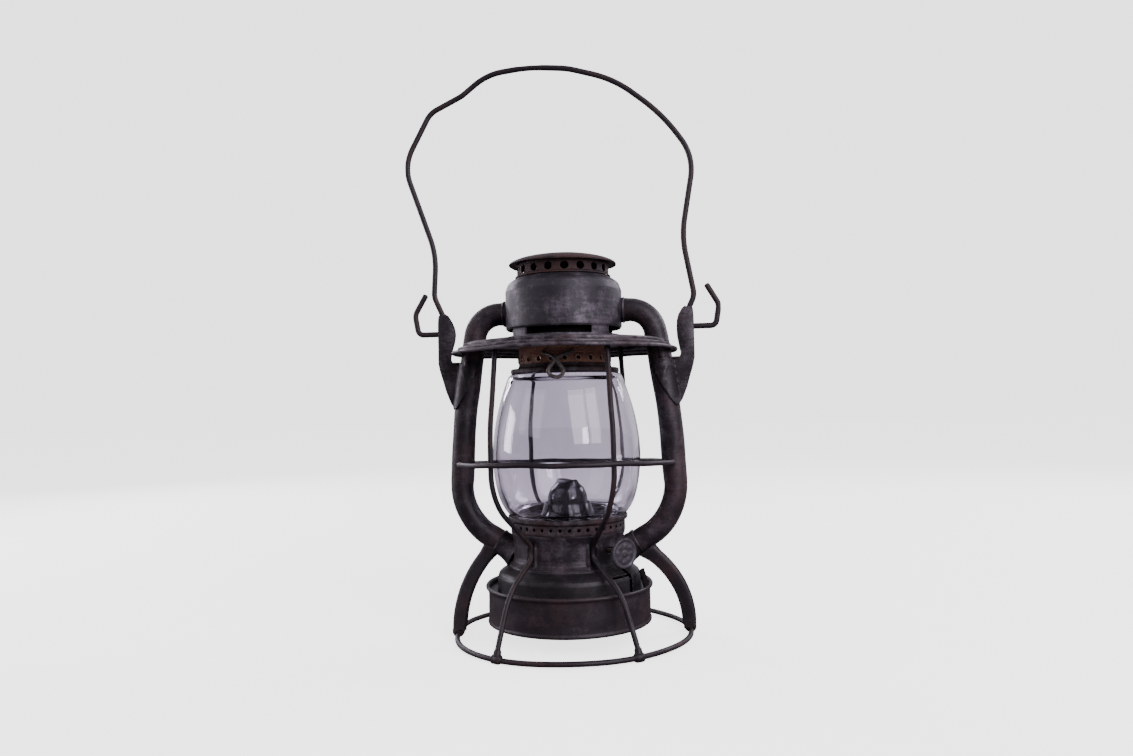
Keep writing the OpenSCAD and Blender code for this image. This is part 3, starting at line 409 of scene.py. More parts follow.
# Round section carried along a line: centre + radius * (tall * cos * normal + wide * sin * across).
# Open ends close to a point over a rounded tip; wander bends it by hand, as a slow sum of sines.
def sweptRod(line, across, radius, sides=20, wander=0.0, seed=0.0, closed=False, tall=1.0, wide=1.0):
    across = np.broadcast_to(across, line.shape)
    along = directions(line, closed)
    t = np.linspace(0, 2 * math.pi, len(line), endpoint=not closed)
    ease = 1 if closed else np.sin(t / 2)
    line = line + wander * (ease * (np.sin(3 * t + seed) + 0.5 * np.sin(7 * t + 2 * seed)))[:, None] * across
    radius, tall, wide = (np.broadcast_to(np.asarray(v, float), (len(line),)) for v in (radius, tall, wide))
    if not closed:
        beta = np.linspace(0, math.pi / 2, tipRings)
        first, last = (0.6 * radius[end] * (1 - np.cos(beta)) for end in (0, -1))
        skip = int(0.6 * radius[0] / np.linalg.norm(line[1] - line[0])) + 1
        keep = slice(skip, len(line) - skip)
        line = np.concatenate([line[0] + along[0] * first[:, None], line[keep],
                               (line[-1] - along[-1] * last[:, None])[::-1]])
        radius = np.concatenate([radius[0] * np.sin(beta), radius[keep], radius[-1] * np.sin(beta)[::-1]])
        along, across, tall, wide = (
            np.concatenate([np.repeat(v[:1], tipRings, 0), v[keep], np.repeat(v[-1:], tipRings, 0)])
            for v in (along, across, tall, wide))
    normal = np.cross(across, along)
    phi = wholeTurn(sides)
    ring = (np.cos(phi)[None, :, None] * (normal * tall[:, None])[:, None]
            + np.sin(phi)[None, :, None] * (across * wide[:, None])[:, None])
    points = line[:, None] + radius[:, None, None] * ring
    return points, gridFaces(len(line), sides, closeRows=closed)


# Profile of radius and height turned about the lantern's axis; dents move the wall in and out by
# a sum of sines in the angle and the height
def turned(profile, segments, dent=0.0, seed=0.0, closed=False):
    profile = np.array(profile, float)
    theta = wholeTurn(segments)
    r, z = profile[:, :1], profile[:, 1:]
    wave = (np.sin(3 * theta + 0.04 * z + seed) + 0.6 * np.sin(5 * theta - 0.09 * z + 2 * seed)
            + 0.4 * np.sin(11 * theta + 0.16 * z + 3 * seed)) / 2
    r = r + dent * wave * rise(r, 0, 20)
    return around(r, theta, z), gridFaces(len(profile), segments, closeRows=closed)


# Band of a turned wall with a row of round holes: each hole sits in its own cell, and the cell's points run
# from the circle to the cell's edge. Lip lifts the metal round each hole.
def piercedBand(radius, low, high, count, hole, centre, lip, first, rings=5, perSide=8):
    width = 2 * math.pi * radius / count
    s = np.linspace(-1, 1, perSide, endpoint=False)
    edge = np.concatenate([np.stack(pair, -1) for pair in ((s, -1 + 0 * s), (1 + 0 * s, s), (-s, 1 + 0 * s),
                                                           (-1 + 0 * s, -s))])
    tall = np.where(edge[:, 1] > 0, high - centre, centre - low)
    edge = edge * np.stack([width / 2 + 0 * tall, tall], -1)
    circle = hole * edge / np.linalg.norm(edge, axis=1, keepdims=True)
    t = (np.linspace(0, 1, rings) ** 1.5)[:, None, None]
    cell = circle * (1 - t) + edge * t
    theta = first + np.arange(count)[:, None, None] * 2 * math.pi / count + cell[None, :, :, 0] / radius
    away = np.linalg.norm(cell, axis=-1) - hole
    r = radius + lip * np.exp(-away / (0.35 * hole))
    starts = np.arange(count)[:, None, None] * rings * len(edge)
    return around(r, theta, centre + cell[..., 1]), (starts + gridFaces(rings, len(edge))).reshape(-1, 4)


# Bail: one bent wire through both ears, its ends hooked outside them
bailShape = {
    "wire": 3.8, "pivot": 205, "hook": [(96.2, 28), (104.4, 14), (102, 0), (82.4, 0), (82.4, 8)],
    "left": [(90.5, 26.1), (88.6, 55.8), (110.9, 119.1), (91.2, 155.3), (68.4, 165.8), (50, 179.4),
        (20.5, 182.4)],
    "right": [(88.4, 20.6), (81.1, 60.6), (90.5, 114.1), (70, 144.1), (37.9, 170.1), (6.1, 179.8)],
    "bends": [8, 4, 3.4, 8, 14, 60, 30, 16, 22, 40, 100, 60, 80, 120, 36, 70, 12, 8, 3.4, 4, 8]}


def makeBail(b):
    left = [(-x, z) for x, z in b["hook"] + b["left"]]
    flat = roundedPath(left + (b["hook"] + b["right"])[::-1], b["bends"], 1.0)
    line = np.stack([flat[:, 0], 0 * flat[:, 0], flat[:, 1] + b["pivot"]], -1)
    rod = sweptRod(line, yAxis, b["wire"] / 2, wander=0.35, seed=1.7)
    addPiece("bailWire", rod, "wire", "bail", ["bail"])


makeBail(bailShape)

# Guard wires: name, node, azimuths of the cage and of the foot, and a lean above the groove. Each path is
# flat above the groove and again below it: its points are distances from the cage, the groove or the foot,
# and heights.
guardShape = {
    "wire": 3.4, "groove": 36.6, "cage": 69.2, "ring": 78, "spacing": 0.9, "inGroove": (63.4, 59.7, 56.8),
    "above": [(-5.4, 196), (0.5, 135), (0.2, 95.2)], "below": [(-14.5, 37.7), (0, 5)],
    "bendsAbove": [220, 40, 8], "bendsBelow": [5, 40], "pressed": (184, 192),
    "wires": [("frontLeftWire", "front_left_guard_wire", -32, -27, -6),
        ("frontRightWire", "front_right_guard_wire", 32, 39.5, 0),
        ("backRightWire", "back_right_guard_wire", 148, 153, 0),
        ("backLeftWire", "back_left_guard_wire", 212, 223, 0)]}


def makeGuardWires(g):
    entry, joint, outlet = g["inGroove"]
    for number, (name, node, azimuth, foot, lean) in enumerate(g["wires"]):
        a, f = math.radians(azimuth), math.radians(foot)
        start = g["groove"] * np.array([math.sin(a), -math.cos(a)])
        reach = g["ring"] * np.array([math.sin(f), -math.cos(f)]) - start
        out, span = g["cage"] - g["groove"], np.linalg.norm(reach)
        above = [(out + x, z) for x, z in g["above"]] + [(0, entry), (0, joint)]
        below = [(0, joint), (0, outlet)] + [(span + x, z) for x, z in g["below"]]
        lineA, acrossA = stoodUp(roundedPath(above, g["bendsAbove"], g["spacing"]), azimuth + lean, start)
        lineB, acrossB = stoodUp(roundedPath(below, g["bendsBelow"], g["spacing"]),
                                 math.degrees(math.atan2(reach[0], -reach[1])), start)
        line, across = np.concatenate([lineA, lineB[1:]]), np.concatenate([acrossA, acrossB[1:]])
        # the wire is pressed flat under the plate
        press = rise(line[:, 2], *g["pressed"]) ** 2
        rod = sweptRod(line, across, g["wire"] / 2, 20, 0.25, 1.3 * number + 0.4, tall=1 - 0.45 * press,
                       wide=1 + 0.5 * press)
        addPiece(name, rod, "wire", stands=[node])


makeGuardWires(guardShape)

# Guard ring in two halves, tilted up in front, and the base ring, which is turned against the cage and
# bent out at the right leg and in at the left one
ringShape = {
    "wire": 3.4, "guard": 72.5, "guardZ": 115, "half": 86, "tilt": 3.4, "base": 78, "baseZ": 2.4, "turn": 8,
    "bent": 2.8, "bentOver": 26}


def makeRings(r):
    for name, node, middle, seed in (("frontRing", "front_guard_ring", 0, 0.8),
                                     ("backRing", "back_guard_ring", 180, 2.9)):
        line = arcLine(r["guard"], r["guardZ"], middle - r["half"], middle + r["half"])
        line[:, 2] -= r["tilt"] / r["guard"] * line[:, 1]
        # both ends are pressed flat on the tubes
        press = rise(np.abs(np.linspace(-1, 1, len(line))), 0.93, 0.99)
        rod = sweptRod(line, zAxis, r["wire"] / 2, 20, 0.3, seed, tall=1 - 0.4 * press, wide=1 + 0.35 * press)
        addPiece(name, rod, "wire", stands=[node])
    whole = arcLine(r["base"], r["baseZ"], 0, 360, 1.0)[:-1]
    azimuth = np.degrees(azimuthOf(whole))
    bent = bell(azimuth, 90 + r["turn"], r["bentOver"]) - bell(azimuth, r["turn"] - 90, r["bentOver"])
    whole[:, :2] *= (1 + r["bent"] / r["base"] * bent)[:, None]
    rod = sweptRod(whole, zAxis, r["wire"] / 2, 20, 0.25, 0.5, closed=True)
    addPiece("baseRing", rod, "wire", stands=["base_ring"])


makeRings(ringShape)


# Keeps points above the floor and within a distance of the axis
def keptWithin(points, reach):
    points[:, :2] *= np.minimum(1, reach / np.maximum(reachOf(points), 0.001))[:, None]
    points[:, 2] = np.maximum(points[:, 2], 0)
    return points


# A nub that stands out of the base ring
def ringNub(path, azimuth, radius):
    return sweptRod(smoothed(stoodUp(path, azimuth)[0], 4), zAxis, radius, 14)


# A clip is a short lumpy sleeve round the base ring with a nub outside, and a cuff that takes the wire's foot
clipShape = {
    "long": 6.2, "radius": 3, "z": 2.5, "reach": 81.4, "nub": [(79.5, 2.6), (80.2, 2.4), (80.7, 2.3)],
    "nubTurn": 1.4, "nubRadius": 1.1, "cuff": [(77.8, 3.2), (77.4, 5.2), (76.7, 7.4), (76.2, 8.6)],
    "cuffRadius": (2.7, 2)}


def makeClips(c):
    parts = []
    for number, wire in enumerate(guardShape["wires"]):
        foot = wire[3]
        line = arcLine(ringShape["base"], c["z"], foot - c["long"] / 2, foot + c["long"] / 2, 0.4)
        t = np.linspace(-1, 1, len(line))
        radius = c["radius"] * (1 - 0.25 * t ** 6 + 0.05 * np.sin(5 * t + number))
        parts.append(sweptRod(line, zAxis, radius, 24))
        line, across = stoodUp(c["cuff"], foot)
        cuff = smoothed(line, 5)
        parts.append(sweptRod(cuff, across[0], np.linspace(*c["cuffRadius"], len(cuff)), 20))
        parts.append(ringNub(c["nub"], foot + c["nubTurn"], c["nubRadius"]))
    points, faces = joined(parts)
    addPiece("ringClips", (keptWithin(points, c["reach"]), faces), "wire", stands=["ring_clips"])


makeClips(clipShape)
print("wires made")

# Side tubes: the corners of their path, from the drum to the chamber
tubeShape = {
    "radius": 7.88, "corner": [(37, 217.4), (59.6, 217.4), (70.2, 146), (74, 79), (38.89, 57.06)],
    "bends": [17.8, 280, 40], "wall": 0.9, "sides": 72, "seam": 0.22, "oval": 0.25, "mouth": 0.55}


# The radius takes a soldered seam on the inner side, slow dings, a flattening in the bends and a flared mouth
def makeTubes(t):
    flat = roundedPath(t["corner"], t["bends"], 1.0)
    phi = wholeTurn(t["sides"])
    for side, word in bothSides:
        line = np.stack([side * flat[:, 0], 0 * flat[:, 0], flat[:, 1]], -1)
        along = directions(line)
        length = np.linspace(0, 1, len(line))[:, None]
        seam = t["seam"] * bell(phi, math.pi, 0.07) - 0.12 * bell(phi, math.pi + 0.16, 0.05)
        ding = 0.1 * np.sin(2 * phi + 23 * length + side) + 0.07 * np.sin(5 * phi - 41 * length + 2)
        bend = np.linalg.norm(np.gradient(along, axis=0), axis=1)[:, None]
        oval = -t["oval"] * rise(bend, 0, 0.03) * np.cos(2 * phi)
        radius = t["radius"] + seam + ding + oval + t["mouth"] * bell(length, 1, 0.018)
        tube = sleeve(line, np.cross(yAxis, along) * side, yAxis, radius, t["sides"])
        addPiece(word + "Tube", tube, "tube", stands=[word + "_tube"], sheet=t["wall"], crisp=50)


makeTubes(tubeShape)

# Side legs: the radius of each leg's bow, what the base ring is bent by there, the arc's ends, and the
# section across the channel, in halves of its width and in depths
legShape = {
    "bows": (72, 62), "bent": (-ringShape["bent"], ringShape["bent"]), "head": (53.2, 57.1), "foot": 77.4,
    "footZ": 4, "width": 8.6, "depth": 8.2, "wall": 0.9,
    "section": [(-1, -1), (-1, -0.72), (-0.98, -0.3), (-0.86, -0.06), (-0.55, 0), (-0.2, 0.02), (0, 0.13),
        (0.2, 0.02), (0.55, 0), (0.86, -0.06), (0.98, -0.3), (1, -0.72), (1, -1)], "rollZ": 4.1,
    "rollHalf": 3.4, "rollRadius": 4, "reach": 82, "nub": [(79.2, 3.6), (80.2, 4), (80.9, 4.2)],
    "nubTurn": 3.1, "nubRadius": 1.35}


# Pressed channel: across it a crown with a ridge line and two flanges; it bows along an arc through its
# foot and head, widens into square shoulders at the head and leans about the head
def makeLeg(g, side, word, bow, bent):
    turn = math.radians(ringShape["turn"])
    reach = g["foot"] + bent
    drop, aside = g["head"][1] - g["footZ"], reach * math.sin(turn)
    head = np.array(g["head"])
    foot = np.array([reach * math.cos(turn), head[1] - math.hypot(drop, aside)])
    chord = head - foot
    length = np.linalg.norm(chord)
    centre = ((foot + head) / 2
              + math.sqrt(bow ** 2 - length ** 2 / 4) * np.array([-chord[1], chord[0]]) / length)
    start, end = (math.atan2(*(place - centre)[::-1]) for place in (foot, head))
    u = np.linspace(0, 1, 60)[:, None]
    across, down = smoothed(g["section"], 3).T
    shoulder = bell(u, 1, 0.075)
    flare = 1 + 0.5 * bell(u, 1, 0.07) - 0.12 * np.sin(math.pi * u) + 0.04 * bell(u, 0, 0.1)
    wide = across * g["width"] / 2 * flare
    deep = down * g["depth"] * (1 - 0.12 * bell(u, 0, 0.06) + 0.2 * shoulder) + 3.6 + 1.5 * shoulder
    # the flanges' ends at the head are cut along the tube
    angle = start + (end - start) * u + math.copysign(0.05, end - start) * np.clip(-down, 0, 1) * shoulder
    x = centre[0] + (bow + deep) * np.cos(angle)
    z = centre[1] + (bow + deep) * np.sin(angle) - head[1]
    lean = side * math.atan2(aside, drop)
    y = wide * math.cos(lean) - z * math.sin(lean)
    z = wide * math.sin(lean) + z * math.cos(lean) + head[1]
    channel = np.stack([side * x, y, z], -1), gridFaces(*x.shape, closeColumns=False)
    addPiece(word + "Leg", channel, "rust", stands=[word + "_leg"], sheet=g["wall"], crisp=50)


# The foot rolls round the base ring, between two nubs
def makeLegFoot(g, side, word, bent):
    middle = 90 * side + ringShape["turn"]
    roll = arcLine(ringShape["base"] + bent, g["rollZ"], middle - g["rollHalf"], middle + g["rollHalf"], 0.4)
    t = np.linspace(-1, 1, len(roll))
    parts = [sweptRod(roll, zAxis, g["rollRadius"] - 0.7 * t ** 8 + 0.2 * np.cos(9 * t + side), 24)]
    nub = [(x + bent, z) for x, z in g["nub"]]
    parts += [ringNub(nub, middle + turn, g["nubRadius"]) for turn in (-g["nubTurn"], g["nubTurn"])]
    points, faces = joined(parts)
    addPiece(word + "LegFoot", (keptWithin(points, g["reach"] + bent), faces), "rust")


for (side, word), bow, bent in zip(bothSides, legShape["bows"], legShape["bent"]):
    makeLeg(legShape, side, word, bow, bent)
    makeLegFoot(legShape, side, word, bent)

# Ears: height, inner edge and outer edge, from the tip of the gusset to the top of the lobe
earShape = {
    "edges": [(153, 74.9, 76.4), (157, 71.6, 79), (165, 66.2, 82.2), (172, 62.4, 84.2), (176.5, 60.4, 85.6),
        (180, 59.4, 86.6), (183.6, 59.2, 87.3), (184.2, 77.6, 87.5), (187, 78.4, 87.5), (192, 77.4, 87.5),
        (198, 76.3, 87.5), (204, 76, 87.5), (209, 76.3, 87.5), (213, 77.4, 87.4), (216.5, 79.6, 87.1),
        (218, 82.4, 86.4)], "tubeZ": (79, 146, 217), "tubeX": (74, 70.2, 59.6), "tubeGap": 8.25,
    "plane": 1.9, "wall": 1, "lobe": (185, 218), "lobeOut": 1.25, "leftWider": 1.5, "end": 87.59,
    "turnZ": (153, 184, 191, 194, 214, 217, 218), "turnBack": (0.2, 0.4, 0.8, 7.2, 7.2, 3, 1.5)}


# The front bulges as a lobe, lies over the front of the tube as a gusset below, and turns back round the
# outer edge at the pivot
def makeEars(e):
    heights, inner, outer = np.array(e["edges"]).T
    z = np.concatenate([np.linspace(a, b, 7)[:-1] for a, b in zip(heights, heights[1:])] + [heights[-1:]])
    left, right = np.interp(z, heights, inner)[:, None], np.interp(z, heights, outer)[:, None]
    s = np.linspace(0, 1, 40)
    x = left + (right - left) * s
    level = z[:, None] + 0 * x
    fromTube = x - np.interp(level, e["tubeZ"], e["tubeX"])
    over = np.sqrt(np.maximum((e["tubeGap"] + e["wall"]) ** 2 - fromTube ** 2, 0)) - 0.1
    plane = e["plane"] + e["wall"]
    front = plane + np.maximum(over - plane, 0) * rise(level, 186.5, 184.3)
    lobe = e["lobeOut"] * np.sin(math.pi * rise(level, *e["lobe"])) ** 0.6 * np.sin(math.pi * s) ** 0.7
    crease = 0.45 * bell(fromTube, (level - 172) * 0.55, 1.3) * rise(level, 184, 177)
    rim = 0.35 * bell(s, 0, 0.05) * (level > 184)
    y = -(front + lobe + crease + rim)
    back = np.linspace(0, 1, 12)[1:]
    backX = right + 0.1 * np.sin(rise(back, 0, 0.18) * math.pi / 2)
    backY = y[:, -1:] + np.interp(z, e["turnZ"], e["turnBack"])[:, None] * back
    x, y = np.concatenate([x, np.minimum(backX, e["end"])], 1), np.concatenate([y, backY], 1)
    level = z[:, None] + 0 * x
    for side, word in bothSides:
        # the left lobe is bent wider than the right one
        bulge = e["leftWider"] * (side < 0) * bell(level, 204, 8) * rise(x, 87.5, 76.5)
        ear = np.stack([side * (x - bulge), y, level], -1), gridFaces(*x.shape, closeColumns=False)
        addPiece(word + "Ear", ear, "chamber", stands=[word + "_ear"], sheet=e["wall"], crisp=40)


makeEars(earShape)
print("tubes, legs and ears made")

# Air drum: wall, rounded shoulder and four slots just above the plate, and the collets that take the tubes
drumShape = {
    "profile": [(40, 197.2), (38.5, 198.1), (38.2, 200.7), (38.3, 205.2), (39.3, 206.2), (39.4, 208),
        (39.4, 231), (37.6, 236.2), (32.8, 239.6), (31.2, 240.5)],
    "rounds": [0.8, 1, 0.5, 0.5, 0.8, 2, 5.5, 4], "slotZ": (200.7, 205.2), "slotHalf": 34, "slotTurn": 2,
    "wall": 0.9, "tubeZ": 217.4, "collet": (36.4, 41.6), "colletRadius": 8.35, "colletWall": 0.28}


# Middles of faces
def middles(points, faces):
    return points.reshape(-1, 3)[faces].mean(1)


def makeDrum(d):
    low, high = d["slotZ"]
    flat = roundedPath(d["profile"], d["rounds"], 0.45)
    # the profile gets points exactly at the slots' edges, in place of those beside them
    clear = (np.abs(flat[:, 1] - low) > 0.2) & (np.abs(flat[:, 1] - high) > 0.2)
    flat = flat[clear]
    flat = np.concatenate([flat, [(np.interp(z, flat[:, 1], flat[:, 0]), z) for z in d["slotZ"]]])
    flat = flat[np.argsort(flat[:, 1], kind="stable")]
    points, faces = turned(flat, 360, 0.22, 0.9)
    middle = middles(points, faces)
    azimuth = (np.degrees(azimuthOf(middle)) - d["slotTurn"] + 45) % 90 - 45
    isOpen = (middle[:, 2] > low) & (middle[:, 2] < high) & (np.abs(azimuth) < d["slotHalf"])
    addPiece("airDrum", (points, faces[~isOpen]), "drum", stands=["air_drum"], sheet=d["wall"], crisp=40)
    t = np.linspace(0, 1, 24)
    radius = d["colletRadius"] + 0.55 * bell(t, 0.84, 0.1)
    collets = []
    for side in (-1, 1):
        line = np.stack([side * np.linspace(*d["collet"], 24), 0 * t, d["tubeZ"] + 0 * t], -1)
        collets.append(sleeve(line, np.cross(yAxis, side * xAxis), yAxis, radius[:, None], 64))
    addPiece("drumCollets", joined(collets), "drum", sheet=d["colletWall"])


makeDrum(drumShape)

# Vent collar with its ring of holes between a flange and a head, and the cap
capShape = {
    "flange": [(32.4, 240.6), (32.4, 241.3), (31.1, 241.8), (31, 242)], "radius": 31, "band": (242, 248),
    "head": [(31, 248), (30.95, 249), (30.9, 250)], "holes": 18, "hole": 2.75, "centre": 245, "lip": 0.12,
    "wall": 0.8,
    "dome": [(0.2, 256.4), (12, 256), (22, 254.9), (29.5, 253.2), (33.6, 251.7), (35.6, 250.6),
        (36.35, 249.7), (36.3, 249.2), (35.7, 249.3), (34.4, 250.1), (30.6, 250.3)], "domeWall": 0.5,
    "top": 256.5}


def makeCap(c):
    flange = turned(roundedPath(c["flange"], [0.4, 0.4], 0.25), 252)
    band = piercedBand(c["radius"], *c["band"], c["holes"], c["hole"], c["centre"], c["lip"],
                       math.pi / c["holes"])
    addPiece("ventCollar", joined([flange, band, turned(c["head"], 288)]), "collar", stands=["vent_collar"],
             sheet=c["wall"], crisp=40)
    points, faces = turned(smoothed(c["dome"], 6), 300, 0.35, 2.2)
    theta = azimuthOf(points)
    # the rim is bent down in two places, and once more on the right
    sag = 0.35 * (0.5 + 0.5 * np.sin(2 * theta + 0.7)) + 0.5 * bell(theta, 1.9, 0.3)
    points[..., 2] -= sag * rise(reachOf(points), 0, 30) ** 2 * (points[..., 2] > 249.5)
    points[..., 2] = np.minimum(points[..., 2], c["top"])
    addPiece("chimneyCap", (points, faces), "cap", stands=["chimney_cap"], sheet=c["domeWall"], crisp=40)


makeCap(capShape)

# Guard plate: flat middle, step and rolled rim with three nested bands; two tabs hang in front of the tubes
plateShape = {
    "profile": [(35.2, 197), (66.4, 197), (67.6, 196.7), (68, 195.9), (68, 194.9), (67.7, 194.5),
        (71.2, 194.1), (71.9, 193.7), (72.1, 192.9), (71.8, 192.4), (72.2, 192.1), (75, 191.8),
        (76.1, 191.4), (76.35, 190.5), (76, 189.6), (75, 189.4), (74.6, 190.2)],
    "rounds": [1, 0.5, 0.5, 0.3, 0.3, 0.4, 0.4, 0.4, 0.2, 0.2, 0.6, 0.6, 0.5, 0.5, 0.4], "wall": 0.8,
    "top": 197.05, "tabX": (65.4, 66.3), "tabY": -8.75, "tabZ": (192.6, 182), "tabHalf": 1.7,
    "tabWall": 0.6}


def makePlate(p):
    points, faces = turned(roundedPath(p["profile"], p["rounds"], 0.3), 360, 0.1, 1.1)
    theta = azimuthOf(points)
    wave = 0.35 * np.sin(2 * theta + 0.6) + 0.22 * np.sin(5 * theta + 1.9) + 0.12 * np.sin(13 * theta)
    points[..., 2] += wave * rise(reachOf(points), 60, 76) - 0.1
    points[..., 2] = np.minimum(points[..., 2], p["top"])
    addPiece("guardPlate", (points, faces), "plate", stands=["guard_plate"], sheet=p["wall"])
    t, s = np.linspace(0, 1, 26)[:, None], np.linspace(-1, 1, 13)[None]
    half = p["tabHalf"] - 0.35 * np.sin(math.pi * t) + 0.5 * bell(t, 1, 0.14)
    half = half * np.sqrt(np.clip(1.04 - rise(t, 0.9, 1) ** 2 * 0.9, 0, 1))
    y = p["tabY"] - (0.85 * bell(t, 0.86, 0.12) + 0.25) * (1 - s ** 2)
    z = p["tabZ"][0] + (p["tabZ"][1] - p["tabZ"][0]) * t + 0 * s
    tabs = []
    for side in (-1, 1):
        x = side * (p["tabX"][0] + (p["tabX"][1] - p["tabX"][0]) * t) + half * s
        tabs.append((np.stack([x, y, z], -1), gridFaces(26, 13, closeColumns=False)))
    addPiece("plateTabs", joined(tabs), "plate", sheet=p["tabWall"], crisp=50)


makePlate(plateShape)

# Globe: thick pressed foot and pear-shaped body; outer skin, inner skin and foot make one closed outline
globeShape = {
    "outer": [(39, 81.6), (40.7, 83.2), (42.9, 86.4), (45.1, 91), (47.2, 98), (48.9, 107.5), (49.75, 117.5),
        (49.7, 124), (48.9, 134), (47.3, 144), (45, 154), (42, 164), (38.9, 172.6), (37.5, 174.6),
        (36.6, 175.15)],
    "inner": [(35, 175.1), (34.6, 174.4), (35.6, 171.8), (39.3, 163), (42.4, 153.4), (44.8, 143.6),
        (46.4, 133.8), (47.2, 124), (47.25, 117.5), (46.3, 107.8), (44.5, 98.4), (42, 91.2), (39.2, 86),
        (36.6, 83.6), (33.4, 82.6)],
    "foot": [(33.2, 82), (33.25, 79.3), (33.6, 78.9), (38.2, 78.9), (38.65, 79.2), (38.95, 80.4),
        (39, 81.6)], "evenBelow": 88}


def makeGlobe(g):
    outline = np.concatenate([smoothed(g["outer"], 8), smoothed(g["inner"], 7), smoothed(g["foot"], 4)[:-1]])
    points, faces = turned(outline, 220, closed=True)
    theta, z = azimuthOf(points), points[..., 2]
    wave = 0.06 * np.sin(3 * theta + 0.06 * z) + 0.04 * np.sin(8 * theta - 0.13 * z)
    points[..., :2] *= (1 + wave / reachOf(points) * (z > g["evenBelow"]))[..., None]
    addPiece("glassGlobe", (points, faces), "glass", stands=["globe"], crisp=60)


makeGlobe(globeShape)

# Globe holder: a sleeve with a ring of pressed holes and their eyelets, coloured pale as a painted highlight
# of the light through the holes, its flange, and the twisted lifting loop, whose points lead from the sleeve
# to its lowest point, where its two wires meet
holderShape = {
    "radius": 31, "band": (182, 188), "high": 201.3, "holes": 22, "hole": 1.65, "centre": 184.9,
    "lip": 0.45, "eyelet": 1.85, "eyeletWire": 0.34, "loopWire": 1.3, "apart": 0.45, "wall": 0.7,
    "flange": [(33, 175.6), (36.2, 175.6), (36.65, 176.2), (36.6, 178), (36.1, 178.8), (33, 179),
        (31.6, 179.6), (31, 181), (31, 182)], "rounds": [0.3, 0.4, 0.5, 0.5, 1, 1, 1],
    "loop": [(9.6, -30.6, 188.8), (9.5, -32.6, 189), (7.8, -34.2, 188), (4.2, -37, 186.6),
        (1.3, -39.6, 184.9), (-0.7, -40.2, 183), (-1.9, -40.6, 181), (-3.9, -40.8, 178.6),
        (-4.9, -40.8, 176.2), (-3.9, -40.8, 173.6), (-1.6, -40.8, 172.3), (0.3, -40.8, 172.05)]}


def makeHolder(h):
    first = math.pi / h["holes"]
    flange = turned(roundedPath(h["flange"], h["rounds"], 0.3), 264)
    band = piercedBand(h["radius"], *h["band"], h["holes"], h["hole"], h["centre"], h["lip"], first, 6)
    upper = turned(np.linspace((h["radius"], h["band"][1]), (h["radius"], h["high"]), 16), 264)
    addPiece("globeHolder", joined([band, upper]), "holder", "globe_holder", ["globe_holder"], h["wall"], 40)
    addPiece("holderFlange", flange, "band", "globe_holder", sheet=h["wall"], crisp=40,
             slotName="rusty_steel")
    eyelets = []
    phi = wholeTurn(24)
    for a in first + wholeTurn(h["holes"]):
        theta, r = a + h["eyelet"] * np.sin(phi) / h["radius"], h["radius"] + 0.35
        line = around(r, theta, h["centre"] + h["eyelet"] * np.cos(phi))
        out = np.array([math.sin(a), -math.cos(a), 0])
        eyelets.append(sweptRod(line, out, h["eyeletWire"], 8, closed=True))
    # painted highlight: the eyelets are pale in place of the light that shows through the holes
    addPiece("holderLipHighlights", joined(eyelets), "lip", "globe_holder")
    wires = []
    for side in (1, -1):
        arm = np.array(h["loop"]) * (side, 1, 1) + side * h["apart"] * np.array([0, 1, 0.35])
        # the two ends come together at the bottom
        arm[-1, 1] -= 0.35 * side
        line = smoothed(arm)
        across = np.cross(directions(line), (0.3, 0.2, 1.0))
        across = across / np.linalg.norm(across, axis=1, keepdims=True)
        wires.append(sweptRod(line, across, h["loopWire"], 16))
    addPiece("liftLoop", joined(wires), "loop", "globe_holder", ["lift_loop"], crisp=60)


makeHolder(holderShape)

# Fount: rolled rim, dented wall and a bead round the bottom
fountShape = {
    "profile": [(0.5, 11.6), (30, 11.5), (50.6, 11.2), (52.4, 10.3), (53.9, 10.3), (54.9, 10.9),
        (54.8, 12.2), (54.3, 13), (54.4, 32), (54.5, 32.9), (55.9, 33.4), (56.1, 34.6), (55.4, 35.7),
        (54.2, 35.5), (53.6, 34.4), (53.5, 32.6)],
    "rounds": [4, 4, 1, 0.6, 0.6, 0.6, 0.6, 1, 0.5, 0.6, 0.8, 0.7, 0.7, 0.6], "radius": 54, "wall": 0.6}


def makeFount(f):
    points, faces = turned(roundedPath(f["profile"], f["rounds"], 0.5), 300)
    theta, z = azimuthOf(points), points[..., 2]
    dent = (0.35 * bell(theta, -0.45, 0.16) * bell(z, 24, 5) + 0.3 * bell(theta, 0.9, 0.12) * bell(z, 19, 4)
            + 0.12 * np.sin(7 * theta + 1) * np.sin(0.4 * z) + 0.12)
    points[..., :2] *= (1 - rise(z, 12.5, 15.5) * rise(z, 33.2, 30.2) * dent / f["radius"])[..., None]
    points[..., 2] += 0.12 * np.sin(3 * theta + 0.5) * rise(z, 30, 34)
    addPiece("fountShell", (points, faces), "fount", "fount", ["fount_shell"], f["wall"], 40)


makeFount(fountShape)

# The wick shaft: its azimuth in degrees, its distance beside the axis and its height
shaft = {"azimuth": 44, "aside": 4.65, "z": 60}
# The knob's face is drawn from its front plane, and its rear from its back plane
knobShape = {
    "radius": 9.7, "back": 51.75, "thick": 2, "teeth": 36, "petals": 8,
    "face": [(0.2, 0.35), (1.3, 0.3), (2.4, -0.25), (3.6, -0.15), (5.4, 0.1), (7, -0.3), (7.8, -0.1),
        (8.6, 0.25), (9.2, 0.1), (9.65, -0.4)], "rear": [(9.65, 0.4), (9.2, 0.05), (4, 0), (0.2, 0)]}


# Points drawn about z are laid on the shaft
def onShaft(points):
    a = math.radians(shaft["azimuth"])
    turn = np.array([[math.cos(a), math.sin(a)], [-math.sin(a), math.cos(a)]])
    out = np.stack([points[..., 0] + shaft["aside"], -points[..., 2], points[..., 1] + shaft["z"]], -1)
    out[..., :2] = out[..., :2] @ turn
    return out


